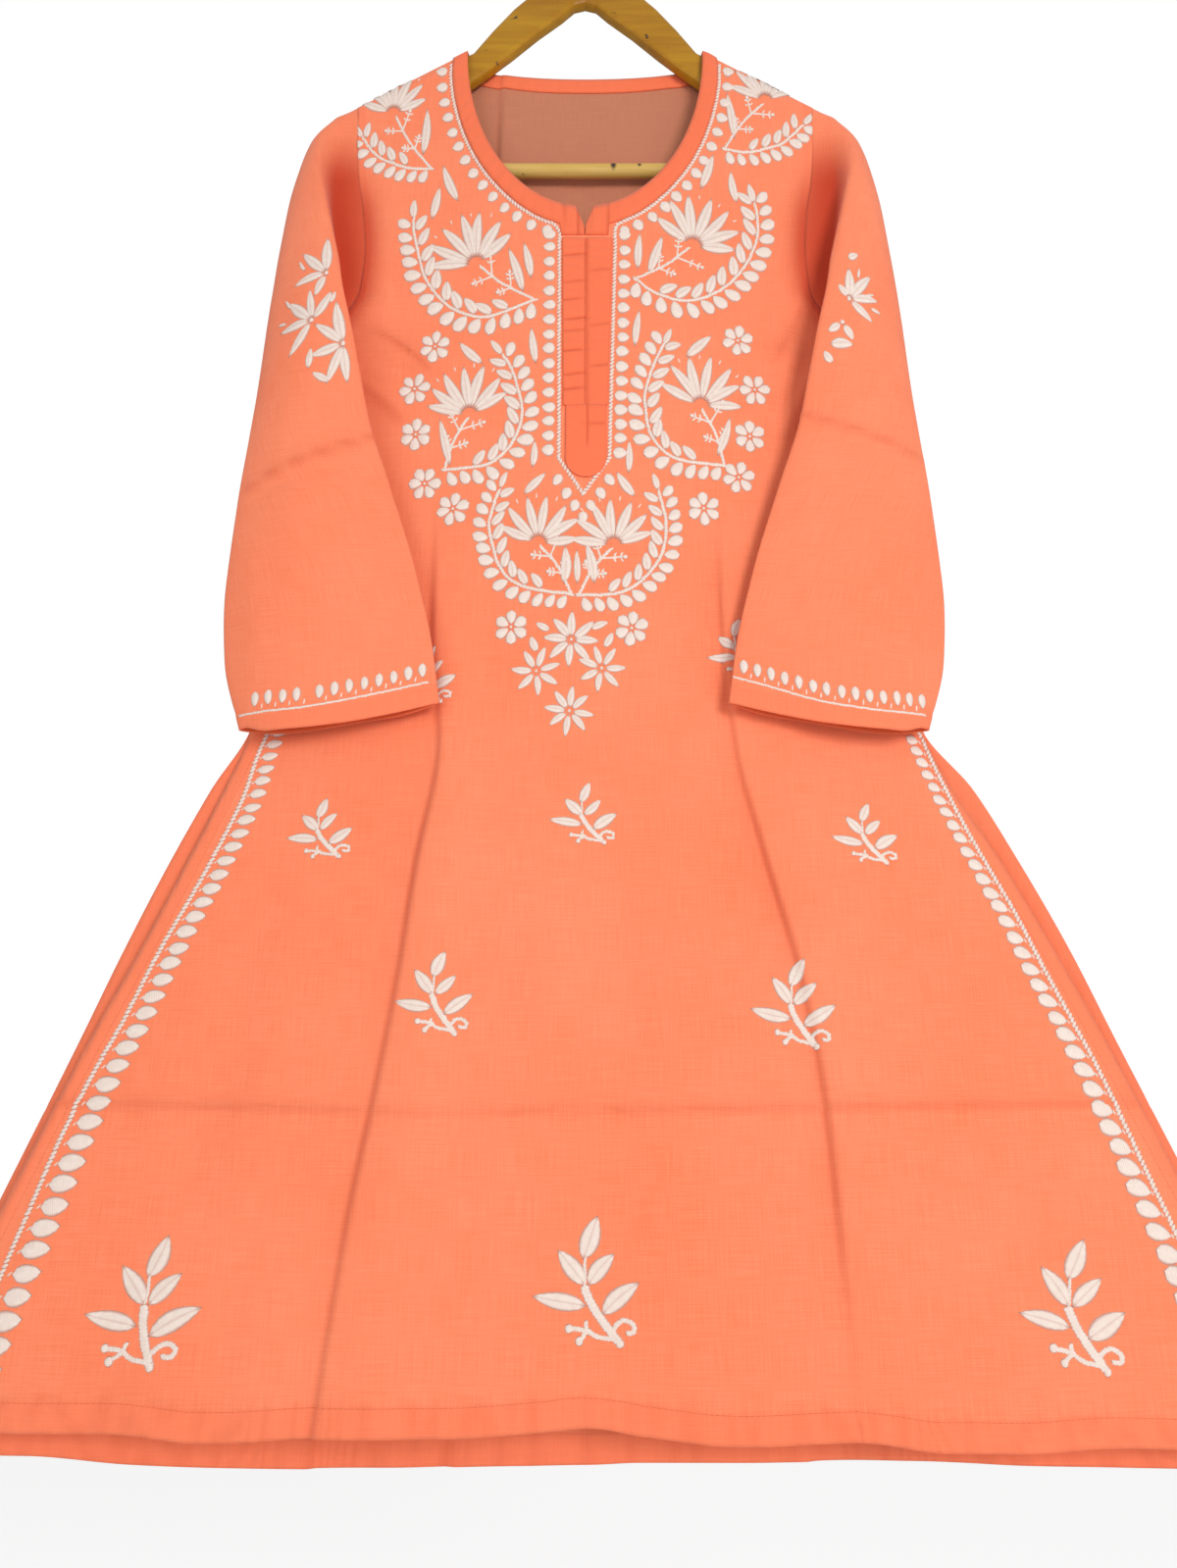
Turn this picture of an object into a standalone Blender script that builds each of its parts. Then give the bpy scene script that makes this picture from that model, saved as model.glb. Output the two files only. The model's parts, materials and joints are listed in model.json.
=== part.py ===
"""A straight-cut kurta tunic hanging on a wooden clothes hanger.

Metres, +Z up.  The origin is the inside top of the hanger's hook, where a rail
carries it.  X runs across the garment, -Y is its front.  Every cloth piece is a
smooth middle surface, worked out from the tables below, that Solidify turns into
a closed wall.  The front and back are height fields over (x, z); the neck bands,
the facing and the placket lie on them, made from the same points moved out.
"""

import math

import bmesh
import bpy
import numpy as np

CM = 0.01
MM = 0.001

# ---------------------------------------------------------------- walls and gaps
CLOTH_WALL = 1.5 * MM
BAND_WALL = 1.6 * MM          # turned double cloth
LAID_GAP = 0.4 * MM           # between a panel and what is sewn on it
HALVINGS = 50                 # of a search for a point on an edge
SEAM_GAP = 0.35 * MM          # half the gap at the shoulder, side and band seams
UNDERARM_GAP = 2.0 * MM       # the same under the arm, where the sleeve leaves it squarely
ARMHOLE_GAP = 0.8 * MM        # between a panel's armhole edge and the sleeve

# ---------------------------------------------------------------- hanger
BOARD_THICKNESS = 12 * MM
BOARD_ROUNDING = 4 * MM
HOOK_WIRE = 1.9 * MM          # radius of the steel wire
HOOK_LOOP = 22 * MM           # radius of the loop, to the wire's centre
HOOK_FOOT = -60 * MM          # where the wire stands on the board
BAR_RADIUS = 6 * MM
BAR_HEIGHT = -293 * MM
BAR_HALF = 172 * MM           # to the arms' inner faces

# ---------------------------------------------------------------- neck and shoulders
NECK_HALF = 10.3 * CM         # at the high points of the shoulders
NECK_TOP = -15.9 * CM
NECK_DROP_FRONT = 19.3 * CM
NECK_DROP_BACK = 1.7 * CM
NECK_CORNER = 50.0            # the neck edge's angle on the ray that ends at the underarm
NOTCH_HALF = 0.75 * CM        # the small V at the centre of the front neck
NOTCH_DEPTH = 2.3 * CM
SHOULDER_SLOPE = 0.717
SHOULDER_TIP = 19.5 * CM      # across, where the sleeve is set in
ROLL = 9.5 * MM               # radius of the cloth over the hanger's top
ROLL_STEPS = 4
BAND_WIDTH = 15 * MM          # at the shoulders
BAND_FRONT = 20 * MM          # at the centre of the front
BAND_TAB = 2.05 * CM          # half the tab that the band has round the V
BAND_FOOT = -38.25 * CM       # the tab's lower edge
FACING_WIDTH = 15 * MM

# ---------------------------------------------------------------- body
UNDERARM = -49.5 * CM
ARMHOLE_TURN = -41.0 * CM     # below it the armhole seam turns out to the underarm
ARMHOLE_HEIGHTS = (-25.2, -28.2, -31.6, -35.2, -39.0, -42.4, -45.2, -47.5)   # cm
CHEST_SPLIT = (20.2, 17.8, 15.3, 12.8, 10.3, 7.9, 5.6, 3.6, 2.0)      # cm from the centre
YOKE_EASE = 1.0               # how much the rays to the underarm sag on their way
YOKE_ROWS = 6                 # below the band, down to the chest line
BODY_HEIGHTS = (-52.3, -55.1, -58.2, -61.4, -65.5, -70.0, -75.0, -80.5, -85.0, -89.5,
                -94.0, -99.0, -104.0, -109.0, -114.0, -119.0)         # cm

# ---------------------------------------------------------------- placket
PLACKET_LEFT = -1.8 * CM
PLACKET_RIGHT = 2.2 * CM
STRIP_TOP = -38.65 * CM
STRIP_FOOT = -55.1 * CM
TONGUE_LEFT = -1.6 * CM
TONGUE_RIGHT = 1.9 * CM
TONGUE_FOOT = -61.2 * CM


class Table:
    """Rows of named columns, read smoothly at any value of the first column."""

    def __init__(self, names, rows):
        ordered = sorted(rows)
        self.keys = np.array([row[0] for row in ordered], float)
        self.columns = {
            name: np.array([row[k + 1] for row in ordered], float)
            for k, name in enumerate(names.split()[1:])
        }

    def at(self, key, name):
        """A monotone cubic through the column's values, flat beyond both ends."""
        keys, values = self.keys, self.columns[name]
        key = min(max(key, keys[0]), keys[-1])
        k = int(min(max(np.searchsorted(keys, key) - 1, 0), len(keys) - 2))
        steps = np.diff(keys)
        slopes = np.diff(values) / steps
        bends = np.zeros(len(keys))
        for i in range(1, len(keys) - 1):
            if slopes[i - 1] * slopes[i] > 0:
                bends[i] = 2 * slopes[i - 1] * slopes[i] / (slopes[i - 1] + slopes[i])
        bends[0] = slopes[0]
        bends[-1] = slopes[-1]
        step = steps[k]
        s = (key - keys[k]) / step
        return (
            values[k] * (1 + 2 * s) * (1 - s) ** 2
            + values[k + 1] * s * s * (3 - 2 * s)
            + step * s * (1 - s) * (bends[k] * (1 - s) - bends[k + 1] * s)
        )


# The armhole seam, in cm from the centre.
ARMHOLE = Table("height across", (
    (-22.5, 19.5), (-27.0, 19.3), (-31.0, 18.9), (-35.0, 18.25), (-39.5, 17.85),
    (-43.0, 18.05), (-45.2, 19.0), (-47.5, 20.5), (-49.5, 22.3),
))

# The side seams, and below the slit's top the two free edges of each panel, in cm.
SIDES = Table("height front_left front_right back_left back_right", (
    (-49.5, -22.3, 22.3, -22.3, 22.3),
    (-56.0, -21.8, 21.9, -21.8, 21.9),
    (-64.0, -21.6, 21.8, -21.6, 21.8),
    (-72.0, -22.0, 22.3, -22.0, 22.3),
    (-80.5, -23.0, 23.3, -23.2, 23.5),
    (-85.0, -24.4, 24.9, -25.5, 26.6),
    (-90.0, -26.2, 27.5, -27.7, 29.1),
    (-96.0, -28.5, 30.2, -30.0, 31.7),
    (-102.0, -31.0, 32.7, -32.1, 33.9),
    (-110.0, -34.0, 35.8, -35.0, 36.9),
    (-118.0, -36.9, 38.8, -37.9, 39.8),
    (-125.6, -39.6, 41.5, -40.6, 42.5),
))

# How far each panel stands from the hanger's middle plane, in mm.
DEPTHS = Table("height front_edge front_middle back_edge back_middle", (
    (-16.0, 9.5, 9.5, 9.5, 9.5),
    (-24.0, 9.5, 13.0, 9.5, 11.0),
    (-30.0, 9.5, 16.0, 9.5, 12.5),
    (-38.0, 9.5, 18.5, 9.5, 14.0),
    (-44.0, 8.5, 20.0, 8.5, 15.5),
    (-49.5, 1.1, 21.0, 1.1, 17.0),
    (-60.0, 1.1, 21.5, 1.1, 18.5),
    (-80.5, 1.2, 22.0, 1.2, 19.0),
    (-90.0, 3.5, 22.0, 3.5, 19.0),
    (-105.0, 6.0, 23.0, 5.0, 20.0),
    (-125.6, 8.0, 24.0, 7.0, 21.0),
))

# Height of the hem under a place across, in cm.
HEMS = Table("across front back", (
    (-40.0, -123.5, -125.1), (-20.0, -123.5, -125.3), (0.0, -123.2, -125.6),
    (12.0, -123.9, -125.7), (25.0, -124.4, -125.8), (42.0, -124.9, -125.8),
))

# Soft folds: from (top_x, top_z) to (foot_x, foot_z) in cm, half width in cm, rise in mm
# (a ridge stands out from the panel, a trough has a rise below nought).
FOLD_NAMES = "top_x top_z foot_x foot_z width rise".split()
FRONT_FOLDS = (
    (-9.8, -64.0, -14.6, -124.0, 1.7, 4.5),
    (-6.6, -70.0, -9.5, -124.0, 2.2, -3.0),
    (10.9, -66.0, 18.0, -124.0, 1.8, 4.5),
    (8.0, -78.0, 12.0, -124.0, 2.2, -3.0),
    (-19.0, -84.0, -27.0, -124.0, 2.4, -2.5),
    (21.0, -86.0, 30.0, -124.0, 2.4, -2.5),
)
BACK_FOLDS = (
    (-11.0, -60.0, -16.0, -125.0, 1.9, 4.5),
    (-3.0, -66.0, -4.0, -125.0, 2.4, -3.0),
    (8.5, -58.0, 12.5, -125.0, 1.9, 4.5),
    (17.0, -80.0, 25.0, -125.0, 2.4, -3.0),
)

# The sleeve, a row for each section from the cap to the cuff: heights at the armhole
# seam and at the outer edge in cm, then points across (cm) and out (mm, - is front).
SLEEVE_NAMES = (
    "order seam_z outer_z seam_x seam_y valley_x valley_y fold_x fold_y"
    " front_x front_y outer_x outer_y back_x back_y"
)
SLEEVE_ROWS = (
    (1, -25.2, -24.0, 0, 0, 20.1, -9.1, 20.9, -8.6, 21.4, -6.0, 21.6, 0.0, 20.7, 6.8),
    (2, -28.2, -27.0, 0, 0, 20.5, -10.4, 22.2, -14.5, 22.9, -11.0, 23.4, -3.0, 22.1, 6.5),
    (3, -31.6, -30.7, 0, 0, 20.8, -11.5, 22.0, -23.0, 23.2, -18.5, 24.0, -6.0, 22.6, 6.5),
    (4, -35.2, -34.5, 0, 0, 20.6, -13.0, 21.2, -29.5, 23.0, -24.0, 24.4, -8.5, 22.9, 6.0),
    (5, -39.0, -38.6, 0, 0, 20.1, -14.0, 20.2, -34.5, 22.6, -29.5, 24.6, -10.5, 23.0, 5.5),
    (6, -42.4, -42.2, 0, 0, 19.8, -14.5, 19.3, -37.5, 22.3, -32.5, 24.75, -12.0, 23.2, 4.5),
    (7, -45.2, -45.1, 0, 0, 20.5, -15.0, 18.7, -39.0, 22.0, -35.0, 24.85, -13.0, 23.4, 3.5),
    (8, -47.5, -47.5, 0, 0, 21.4, -15.5, 18.1, -39.5, 21.8, -36.0, 24.9, -13.5, 23.8, 1.5),
    (9, -49.5, -49.6, 22.62, -0.5, 21.8, -15.5, 17.6, -39.5, 22.0, -36.5, 24.9, -14.5, 24.1, -2.0),
    (10, -53.2, -53.3, 23.1, -7.0, 20.4, -19.5, 16.8, -37.5, 21.9, -36.0, 24.95, -15.5, 24.2, -6.5),
    (11, -57.5, -57.5, 22.4, -10.0, 19.0, -20.5, 15.9, -35.0, 21.7, -34.5, 25.1, -16.5, 24.1, -9.0),
    (12, -63.0, -63.0, 21.6, -13.0, 17.2, -22.0, 14.1, -32.5, 21.4, -33.0, 25.35, -17.0, 23.9, -10.5),
    (13, -70.0, -70.0, 20.2, -15.0, 15.4, -24.5, 11.9, -32.5, 20.8, -33.5, 25.45, -17.5, 23.4, -11.0),
    (14, -76.0, -76.0, 19.0, -16.5, 14.0, -26.0, 10.55, -32.5, 20.0, -34.5, 24.9, -18.0, 22.6, -11.5),
    (15, -81.4, -81.4, 17.6, -19.0, 12.9, -27.0, 9.8, -33.0, 19.0, -35.0, 23.3, -18.5, 21.4, -12.5),
)
SLEEVE_PARTS = (3, 4, 4, 5, 5, 4)        # grid steps between a section's named points
SLEEVE_LOOPS_FROM = 9         # the first row that closes under the arm
SLEEVE_STATIONS = (0.5, 1, 2, 3, 4, 5, 6, 7, 8, 9, 10, 11, 12, 13, 14, 15)
CUFF_SAG = Table("across drop", (        # the cuff's edge below the last row, in mm
    (9.5, -12.0), (13.0, -2.0), (16.5, 5.0), (19.5, 7.0), (23.5, 0.0),
))

MATERIALS = {
    "cotton": ((0.93, 0.27, 0.13), 0.85, 0.0),
    "cotton_double": ((0.90, 0.20, 0.09), 0.85, 0.0),
    "wood": ((0.62, 0.39, 0.13), 0.4, 0.0),
    "steel": ((0.55, 0.55, 0.56), 0.3, 1.0),
}


# ---------------------------------------------------------------- surfaces
def shoulder_height(x):
    """Height of the shoulder line over a place across."""
    return NECK_TOP - SHOULDER_SLOPE * (abs(x) - NECK_HALF)


def half_width(z):
    """Half the yoke's width at a height, to the armhole seam."""
    return ARMHOLE.at(z / CM, "across") * CM


def panel_edges(side, z):
    """Left and right edge of a panel at a height."""
    if z > UNDERARM:
        return -half_width(z), half_width(z)
    return tuple(SIDES.at(z / CM, f"{side}_{hand}") * CM for hand in ("left", "right"))


def fold_rise(folds, x, z):
    """What the soft folds add to a panel's depth."""
    total = 0.0
    for row in folds:
        fold = dict(zip(FOLD_NAMES, row))
        top, foot = fold["top_z"] * CM, fold["foot_z"] * CM
        s = (top - z) / (top - foot)
        if s <= 0:
            continue
        middle = (fold["top_x"] + (fold["foot_x"] - fold["top_x"]) * s ** 1.3) * CM
        fade = min(s / 0.35, 1.0)
        spread = (x - middle) / (fold["width"] * CM * (0.6 + 0.5 * s))
        total += fold["rise"] * MM * fade * fade * (3 - 2 * fade) * math.exp(-spread * spread)
    return total


def depth(side, x, z):
    """How far a panel's middle surface stands from the hanger's middle plane."""
    left, right = panel_edges(side, z)
    t = min(abs(2 * x - left - right) / (right - left), 1.0)
    edge = DEPTHS.at(z / CM, f"{side}_edge") * MM
    middle = DEPTHS.at(z / CM, f"{side}_middle") * MM
    swell = (1 - t ** 2.2) ** 0.9
    folds = FRONT_FOLDS if side == "front" else BACK_FOLDS
    full = edge + (middle - edge) * swell + fold_rise(folds, x, z) * (1 - t ** 6)
    drop = (shoulder_height(x) - z) / math.hypot(1, SHOULDER_SLOPE)
    if drop < ROLL:
        rise = ROLL - max(drop, 0.0)
        full = min(full, math.sqrt(max(ROLL * ROLL - rise * rise, 0.0)))
    return max(full, SEAM_GAP)


def on_panel(side, x, z):
    """The point of a panel's middle surface at (x, z)."""
    y = depth(side, x, z)
    return (x, -y if side == "front" else y, z)


def neck_point(side, angle):
    """A point of the neck edge: 0 at the left shoulder, pi at the right."""
    drop = NECK_DROP_FRONT if side == "front" else NECK_DROP_BACK
    return (-NECK_HALF * math.cos(angle), NECK_TOP - drop * math.sin(angle))


def neck_angle_below(side, drop):
    """The neck edge's angle where it lies a given height below the shoulder line."""
    low, high = 0.0, math.pi / 2
    for _ in range(HALVINGS):
        middle = (low + high) / 2
        x, z = neck_point(side, middle)
        if shoulder_height(x) - z < drop:
            low = middle
        else:
            high = middle
    return low


# ---------------------------------------------------------------- grids of points
def roll_drops():
    """Heights below the shoulder line of the fine columns that turn over the hanger."""
    steep = math.hypot(1, SHOULDER_SLOPE)
    turns = [k * math.pi / 2 / ROLL_STEPS for k in range(ROLL_STEPS + 1)]
    return [ROLL * (1 - math.cos(turn)) * steep for turn in turns]


def yoke_columns(side):
    """(neck point, outer point) of the yoke's rays, from the left shoulder to the centre."""
    rays = []
    for drop in roll_drops():
        outer = (-SHOULDER_TIP, shoulder_height(SHOULDER_TIP) - drop)
        rays.append((neck_angle_below(side, drop), outer))
    outers = [(-ARMHOLE.at(h, "across") * CM, h * CM) for h in ARMHOLE_HEIGHTS]
    outers.append((panel_edges(side, UNDERARM)[0], UNDERARM))
    outers += [(-across * CM, UNDERARM) for across in CHEST_SPLIT]
    first = rays[-1][0]
    corner = math.radians(NECK_CORNER)
    last = math.acos(CHEST_SPLIT[-1] * CM / NECK_HALF)
    sides = len(ARMHOLE_HEIGHTS) + 1
    for k, outer in enumerate(outers, 1):
        if k <= sides:
            angle = first + (corner - first) * k / sides
        else:
            angle = corner + (last - corner) * (k - sides) / len(CHEST_SPLIT)
        rays.append((angle, outer))
    rays = [(neck_point(side, angle), outer) for angle, outer in rays]
    near = neck_point(side, math.acos(NOTCH_HALF / NECK_HALF))
    centre = neck_point(side, math.pi / 2)
    notch = NOTCH_DEPTH if side == "front" else 0.0
    rays.append((near, (-NOTCH_HALF, UNDERARM)))
    rays.append(((0.0, centre[1] - notch), (0.0, UNDERARM)))
    return rays


def eased(share, outer_z):
    """How far down its run a ray is, at a share of it: rays to the chest line sag."""
    above = min((outer_z - UNDERARM) / (20 * CM), 1.0)
    return share + YOKE_EASE * (1 - above) * share * share * (1 - share)


def band_reach(neck, outer):
    """The front band's width along a ray: it grows to the centre and ends in a tab."""
    if abs(neck[0]) > BAND_TAB:
        return BAND_WIDTH + (BAND_FRONT - BAND_WIDTH) * (NECK_TOP - neck[1]) / NECK_DROP_FRONT
    wanted = (neck[1] - BAND_FOOT) / (neck[1] - outer[1])
    low, high = 0.0, 1.0
    for _ in range(HALVINGS):
        middle = (low + high) / 2
        if eased(middle, outer[1]) < wanted:
            low = middle
        else:
            high = middle
    return low * math.dist(neck, outer)


def yoke_grid(side):
    """Points of the upper panel: a row for each distance from the neck edge outwards."""
    half = yoke_columns(side)
    mirrored = [((-n[0], n[1]), (-o[0], o[1])) for n, o in half[-2::-1]]
    rows = [[] for _ in range(YOKE_ROWS + 3)]
    for neck, outer in half + mirrored:
        run = math.dist(neck, outer)
        band = band_reach(neck, outer) if side == "front" else FACING_WIDTH
        reaches = [0.0, band / 2, band]
        reaches += [band + (run - band) * k / YOKE_ROWS for k in range(1, YOKE_ROWS + 1)]
        for row, reach in zip(rows, reaches):
            s = reach / run
            z = neck[1] + (outer[1] - neck[1]) * eased(s, outer[1])
            shares = [x / half_width(at) for x, at in (neck, outer)]
            x = half_width(z) * (shares[0] + (shares[1] - shares[0]) * s)
            row.append(on_panel(side, x, z))
    return np.array(rows)


def body_grid(side, chest):
    """Points of the lower panel, from the chest line down to the hem."""
    left, right = panel_edges(side, UNDERARM)
    shares = [(x - left) / (right - left) for x in chest[:, 0]]
    count = len(shares) - 1
    rows = [chest]
    for height in BODY_HEIGHTS + (None,):
        row = []
        for k, share in enumerate(shares):
            low = BODY_HEIGHTS[-1] if height is None else height
            even = min(max((BODY_HEIGHTS[3] - low) / 30.0, 0.0), 1.0)
            share = share + (k / count - share) * even * 0.7
            z = low * CM
            left, right = panel_edges(side, z)
            x = left + (right - left) * share
            if height is None:
                for _ in range(3):
                    z = HEMS.at(x / CM, side) * CM
                    left, right = panel_edges(side, z)
                    x = left + (right - left) * share
            row.append(on_panel(side, x, z))
        rows.append(np.array(row))
    return np.array(rows)


def grid_normals(grid, outwards):
    """Unit normals of a grid of points, turned to the side that outwards points to."""
    along = np.gradient(grid, axis=0)
    across = np.gradient(grid, axis=1)
    normals = np.cross(along, across)
    normals /= np.linalg.norm(normals, axis=2, keepdims=True)
    if (normals @ np.array(outwards)).mean() < 0:
        normals = -normals
    return normals


def laid_on(grid, outwards):
    """The same grid moved out so that a band or strip lies on the cloth."""
    lift = CLOTH_WALL / 2 + LAID_GAP + BAND_WALL / 2
    return grid + grid_normals(grid, outwards) * lift


def strip_grid(left, right, top, foot, rows, columns):
    """A patch of the front panel, for a placket strip."""
    return np.array([
        [on_panel("front", left + (right - left) * c / columns, top + (foot - top) * r / rows)
         for c in range(columns + 1)]
        for r in range(rows + 1)
    ])


def tongue_grid(rows=7, columns=4):
    """The placket's end, which narrows to a round tip."""
    middle = (TONGUE_LEFT + TONGUE_RIGHT) / 2
    half = (TONGUE_RIGHT - TONGUE_LEFT) / 2
    top = STRIP_FOOT - 2 * SEAM_GAP
    straight = TONGUE_FOOT + half * 1.1
    grid = []
    for r in range(rows + 1):
        s = r / rows
        if s < 0.5:
            z = top + (straight - top) * s / 0.5
            wide = half
        else:
            turn = (s - 0.5) / 0.5 * math.radians(80)
            z = straight + (TONGUE_FOOT - straight) * math.sin(turn) / math.sin(math.radians(80))
            wide = half * math.cos(turn)
        grid.append([
            on_panel("front", middle + wide * (2 * c / columns - 1), z) for c in range(columns + 1)
        ])
    return np.array(grid)


def smooth_run(points, parts, closed):
    """Samples of a smooth curve through a section's named points."""
    points = np.array(points, float)
    count = len(points)
    samples = []
    for k, steps in enumerate(parts):
        if closed:
            before = points[k - 1] if k else points[count - 2]
            after = points[k + 2] if k + 2 < count else points[1]
        else:
            before = points[max(k - 1, 0)]
            after = points[min(k + 2, count - 1)]
        start, end = points[k], points[k + 1]
        span = np.linalg.norm(end - start)
        lead = (end - before) / (np.linalg.norm(start - before) + span + 1e-9) * span
        trail = (after - start) / (np.linalg.norm(after - end) + span + 1e-9) * span
        for i in range(steps):
            s = i / steps
            samples.append(
                start * (1 + 2 * s) * (1 - s) ** 2 + end * s * s * (3 - 2 * s)
                + lead * s * (1 - s) ** 2 - trail * s * s * (1 - s)
            )
    samples.append(points[-1])
    return samples


def sleeve_grid(hand):
    """Points of a sleeve, a row for each section; hand is -1 for left, 1 for right."""
    table = Table(SLEEVE_NAMES, SLEEVE_ROWS)
    columns = sum(SLEEVE_PARTS)
    cap_x = SHOULDER_TIP + ARMHOLE_GAP
    cap_z = shoulder_height(SHOULDER_TIP)
    steep = math.hypot(1, SHOULDER_SLOPE)
    cap = [
        (cap_x, -ROLL * math.cos(math.pi * c / columns),
         cap_z - ROLL * steep * (1 - math.sin(math.pi * c / columns)))
        for c in range(columns + 1)
    ]
    grid = [cap]
    for order in SLEEVE_STATIONS:
        key = max(order, 1)
        value = {name: table.at(key, name) for name in table.columns}
        seam_z = value["seam_z"] * CM
        closed = order >= SLEEVE_LOOPS_FROM
        if closed:
            first = last = (value["seam_x"] * CM, value["seam_y"] * MM)
        else:
            across = half_width(seam_z)
            under = min(max((ARMHOLE_TURN - seam_z) / (5 * CM), 0.0), 1.0)
            seam_x = across + ARMHOLE_GAP + under * (UNDERARM_GAP - ARMHOLE_GAP)
            first = (seam_x, -depth("front", across, seam_z))
            last = (seam_x, depth("back", across, seam_z))
        named = [first]
        named += [
            (value[f"{name}_x"] * CM, value[f"{name}_y"] * MM)
            for name in ("valley", "fold", "front", "outer", "back")
        ]
        named.append(last)
        section = smooth_run(named, SLEEVE_PARTS, closed)
        lift = (value["outer_z"] - value["seam_z"]) * CM
        down = max((order - 13) / 2, 0.0)
        row = []
        for c, (x, y) in enumerate(section):
            z = seam_z + lift * math.sin(math.pi * c / columns)
            z -= CUFF_SAG.at(x / CM, "drop") * MM * down
            row.append((x, y, z))
        if order < 1:
            row = [tuple((np.array(a) + np.array(b)) / 2) for a, b in zip(cap, row)]
        grid.append(row)
    grid = np.array(grid)
    grid[:, :, 0] *= hand
    return grid


# ---------------------------------------------------------------- objects
def material(name):
    """The material of that name, made once."""
    if name in bpy.data.materials:
        return bpy.data.materials[name]
    colour, roughness, metallic = MATERIALS[name]
    made = bpy.data.materials.new(name)
    made.use_nodes = True
    shader = made.node_tree.nodes["Principled BSDF"]
    shader.inputs["Base Color"].default_value = (*colour, 1.0)
    shader.inputs["Roughness"].default_value = roughness
    shader.inputs["Metallic"].default_value = metallic
    made.diffuse_color = (*colour, 1.0)
    return made


def add_grid(mesh, grid):
    """A Blender grid in mesh, its vertices moved to the grid of points."""
    rows, columns = grid.shape[:2]
    made = bmesh.ops.create_grid(
        mesh, x_segments=columns - 1, y_segments=rows - 1, size=1.0
    )["verts"]
    ordered = sorted(made, key=lambda v: (round(v.co.y, 6), round(v.co.x, 6)))
    for vertex, point in zip(ordered, grid.reshape(-1, 3)):
        vertex.co = point


def sheet(name, grids, wall, finish, home):
    """A piece of cloth: grids of points, welded and given a wall."""
    mesh = bmesh.new()
    for grid in grids:
        add_grid(mesh, grid)
    bmesh.ops.remove_doubles(mesh, verts=mesh.verts, dist=0.01 * MM)
    bmesh.ops.recalc_face_normals(mesh, faces=mesh.faces)
    data = bpy.data.meshes.new(name)
    mesh.to_mesh(data)
    mesh.free()
    data.shade_smooth()
    piece = bpy.data.objects.new(name, data)
    home.objects.link(piece)
    data.materials.append(material(finish))
    solid = piece.modifiers.new("wall", "SOLIDIFY")
    solid.thickness = wall
    solid.offset = 0.0
    return piece


def part_columns(grid, first, last, nudge):
    """Columns first..last of a grid, its end column moved across by nudge."""
    part = grid[:, first:last + 1].copy()
    end = -1 if nudge < 0 else 0
    part[:, end, 0] += nudge
    return part


def build_cloth(home):
    """Every cut and sewn piece of the kurta."""
    front_yoke = yoke_grid("front")
    back_yoke = yoke_grid("back")
    edge = ROLL_STEPS + len(ARMHOLE_HEIGHTS) + 1
    for side, yoke in (("front", front_yoke), ("back", back_yoke)):
        chest = yoke[-1, edge:yoke.shape[1] - edge]
        sheet(f"{side}_panel", (yoke, body_grid(side, chest)), CLOTH_WALL, "cotton", home)

    centre = front_yoke.shape[1] // 2
    band = laid_on(front_yoke[:3], (0, -1, 0))
    left = part_columns(band, 0, centre, -SEAM_GAP)
    right = part_columns(band, centre, front_yoke.shape[1] - 1, SEAM_GAP)
    sheet("neck_band_left", (left,), BAND_WALL, "cotton_double", home)
    sheet("neck_band_right", (right,), BAND_WALL, "cotton_double", home)

    clear = ROLL_STEPS + 1
    facing = laid_on(back_yoke[:3], (0, -1, 0))[:, clear:-clear]
    sheet("back_neck_facing", (facing,), BAND_WALL, "cotton_double", home)

    strips = (
        ("placket_left", PLACKET_LEFT, -SEAM_GAP),
        ("placket_right", SEAM_GAP, PLACKET_RIGHT),
    )
    for name, low, high in strips:
        grid = strip_grid(low, high, STRIP_TOP, STRIP_FOOT, 8, 2)
        sheet(name, (laid_on(grid, (0, -1, 0)),), BAND_WALL, "cotton_double", home)
    tongue = laid_on(tongue_grid(), (0, -1, 0))
    sheet("placket_tongue", (tongue,), BAND_WALL, "cotton_double", home)

    sheet("sleeve_left", (sleeve_grid(-1),), CLOTH_WALL, "cotton", home)
    sheet("sleeve_right", (sleeve_grid(1),), CLOTH_WALL, "cotton", home)


def board_outline():
    """Half of the arms' outline, from the top centre round to the lower centre, in cm."""
    rest = 0.34
    upper = [(0.0, -6.0), (1.6, -6.05), (3.2, -7.0), (4.8, -8.5), (6.4, -10.4), (8.2, -13.1)]
    for across in (9.9, 12.0, 14.5, 17.0, 19.4):
        upper.append((across, shoulder_height(across * CM) / CM - rest))
    tip = [(20.7, -24.6), (21.0, -26.4), (20.7, -28.6), (19.8, -30.1), (18.4, -30.7), (17.2, -30.4)]
    lower = [(17.2, -28.2), (16.2, -25.6), (13.6, -22.8), (10.8, -20.3), (8.4, -18.0),
             (6.4, -15.9), (4.2, -13.4), (2.0, -11.2), (0.9, -9.9), (0.0, -9.6)]
    return upper, tip, lower


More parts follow.
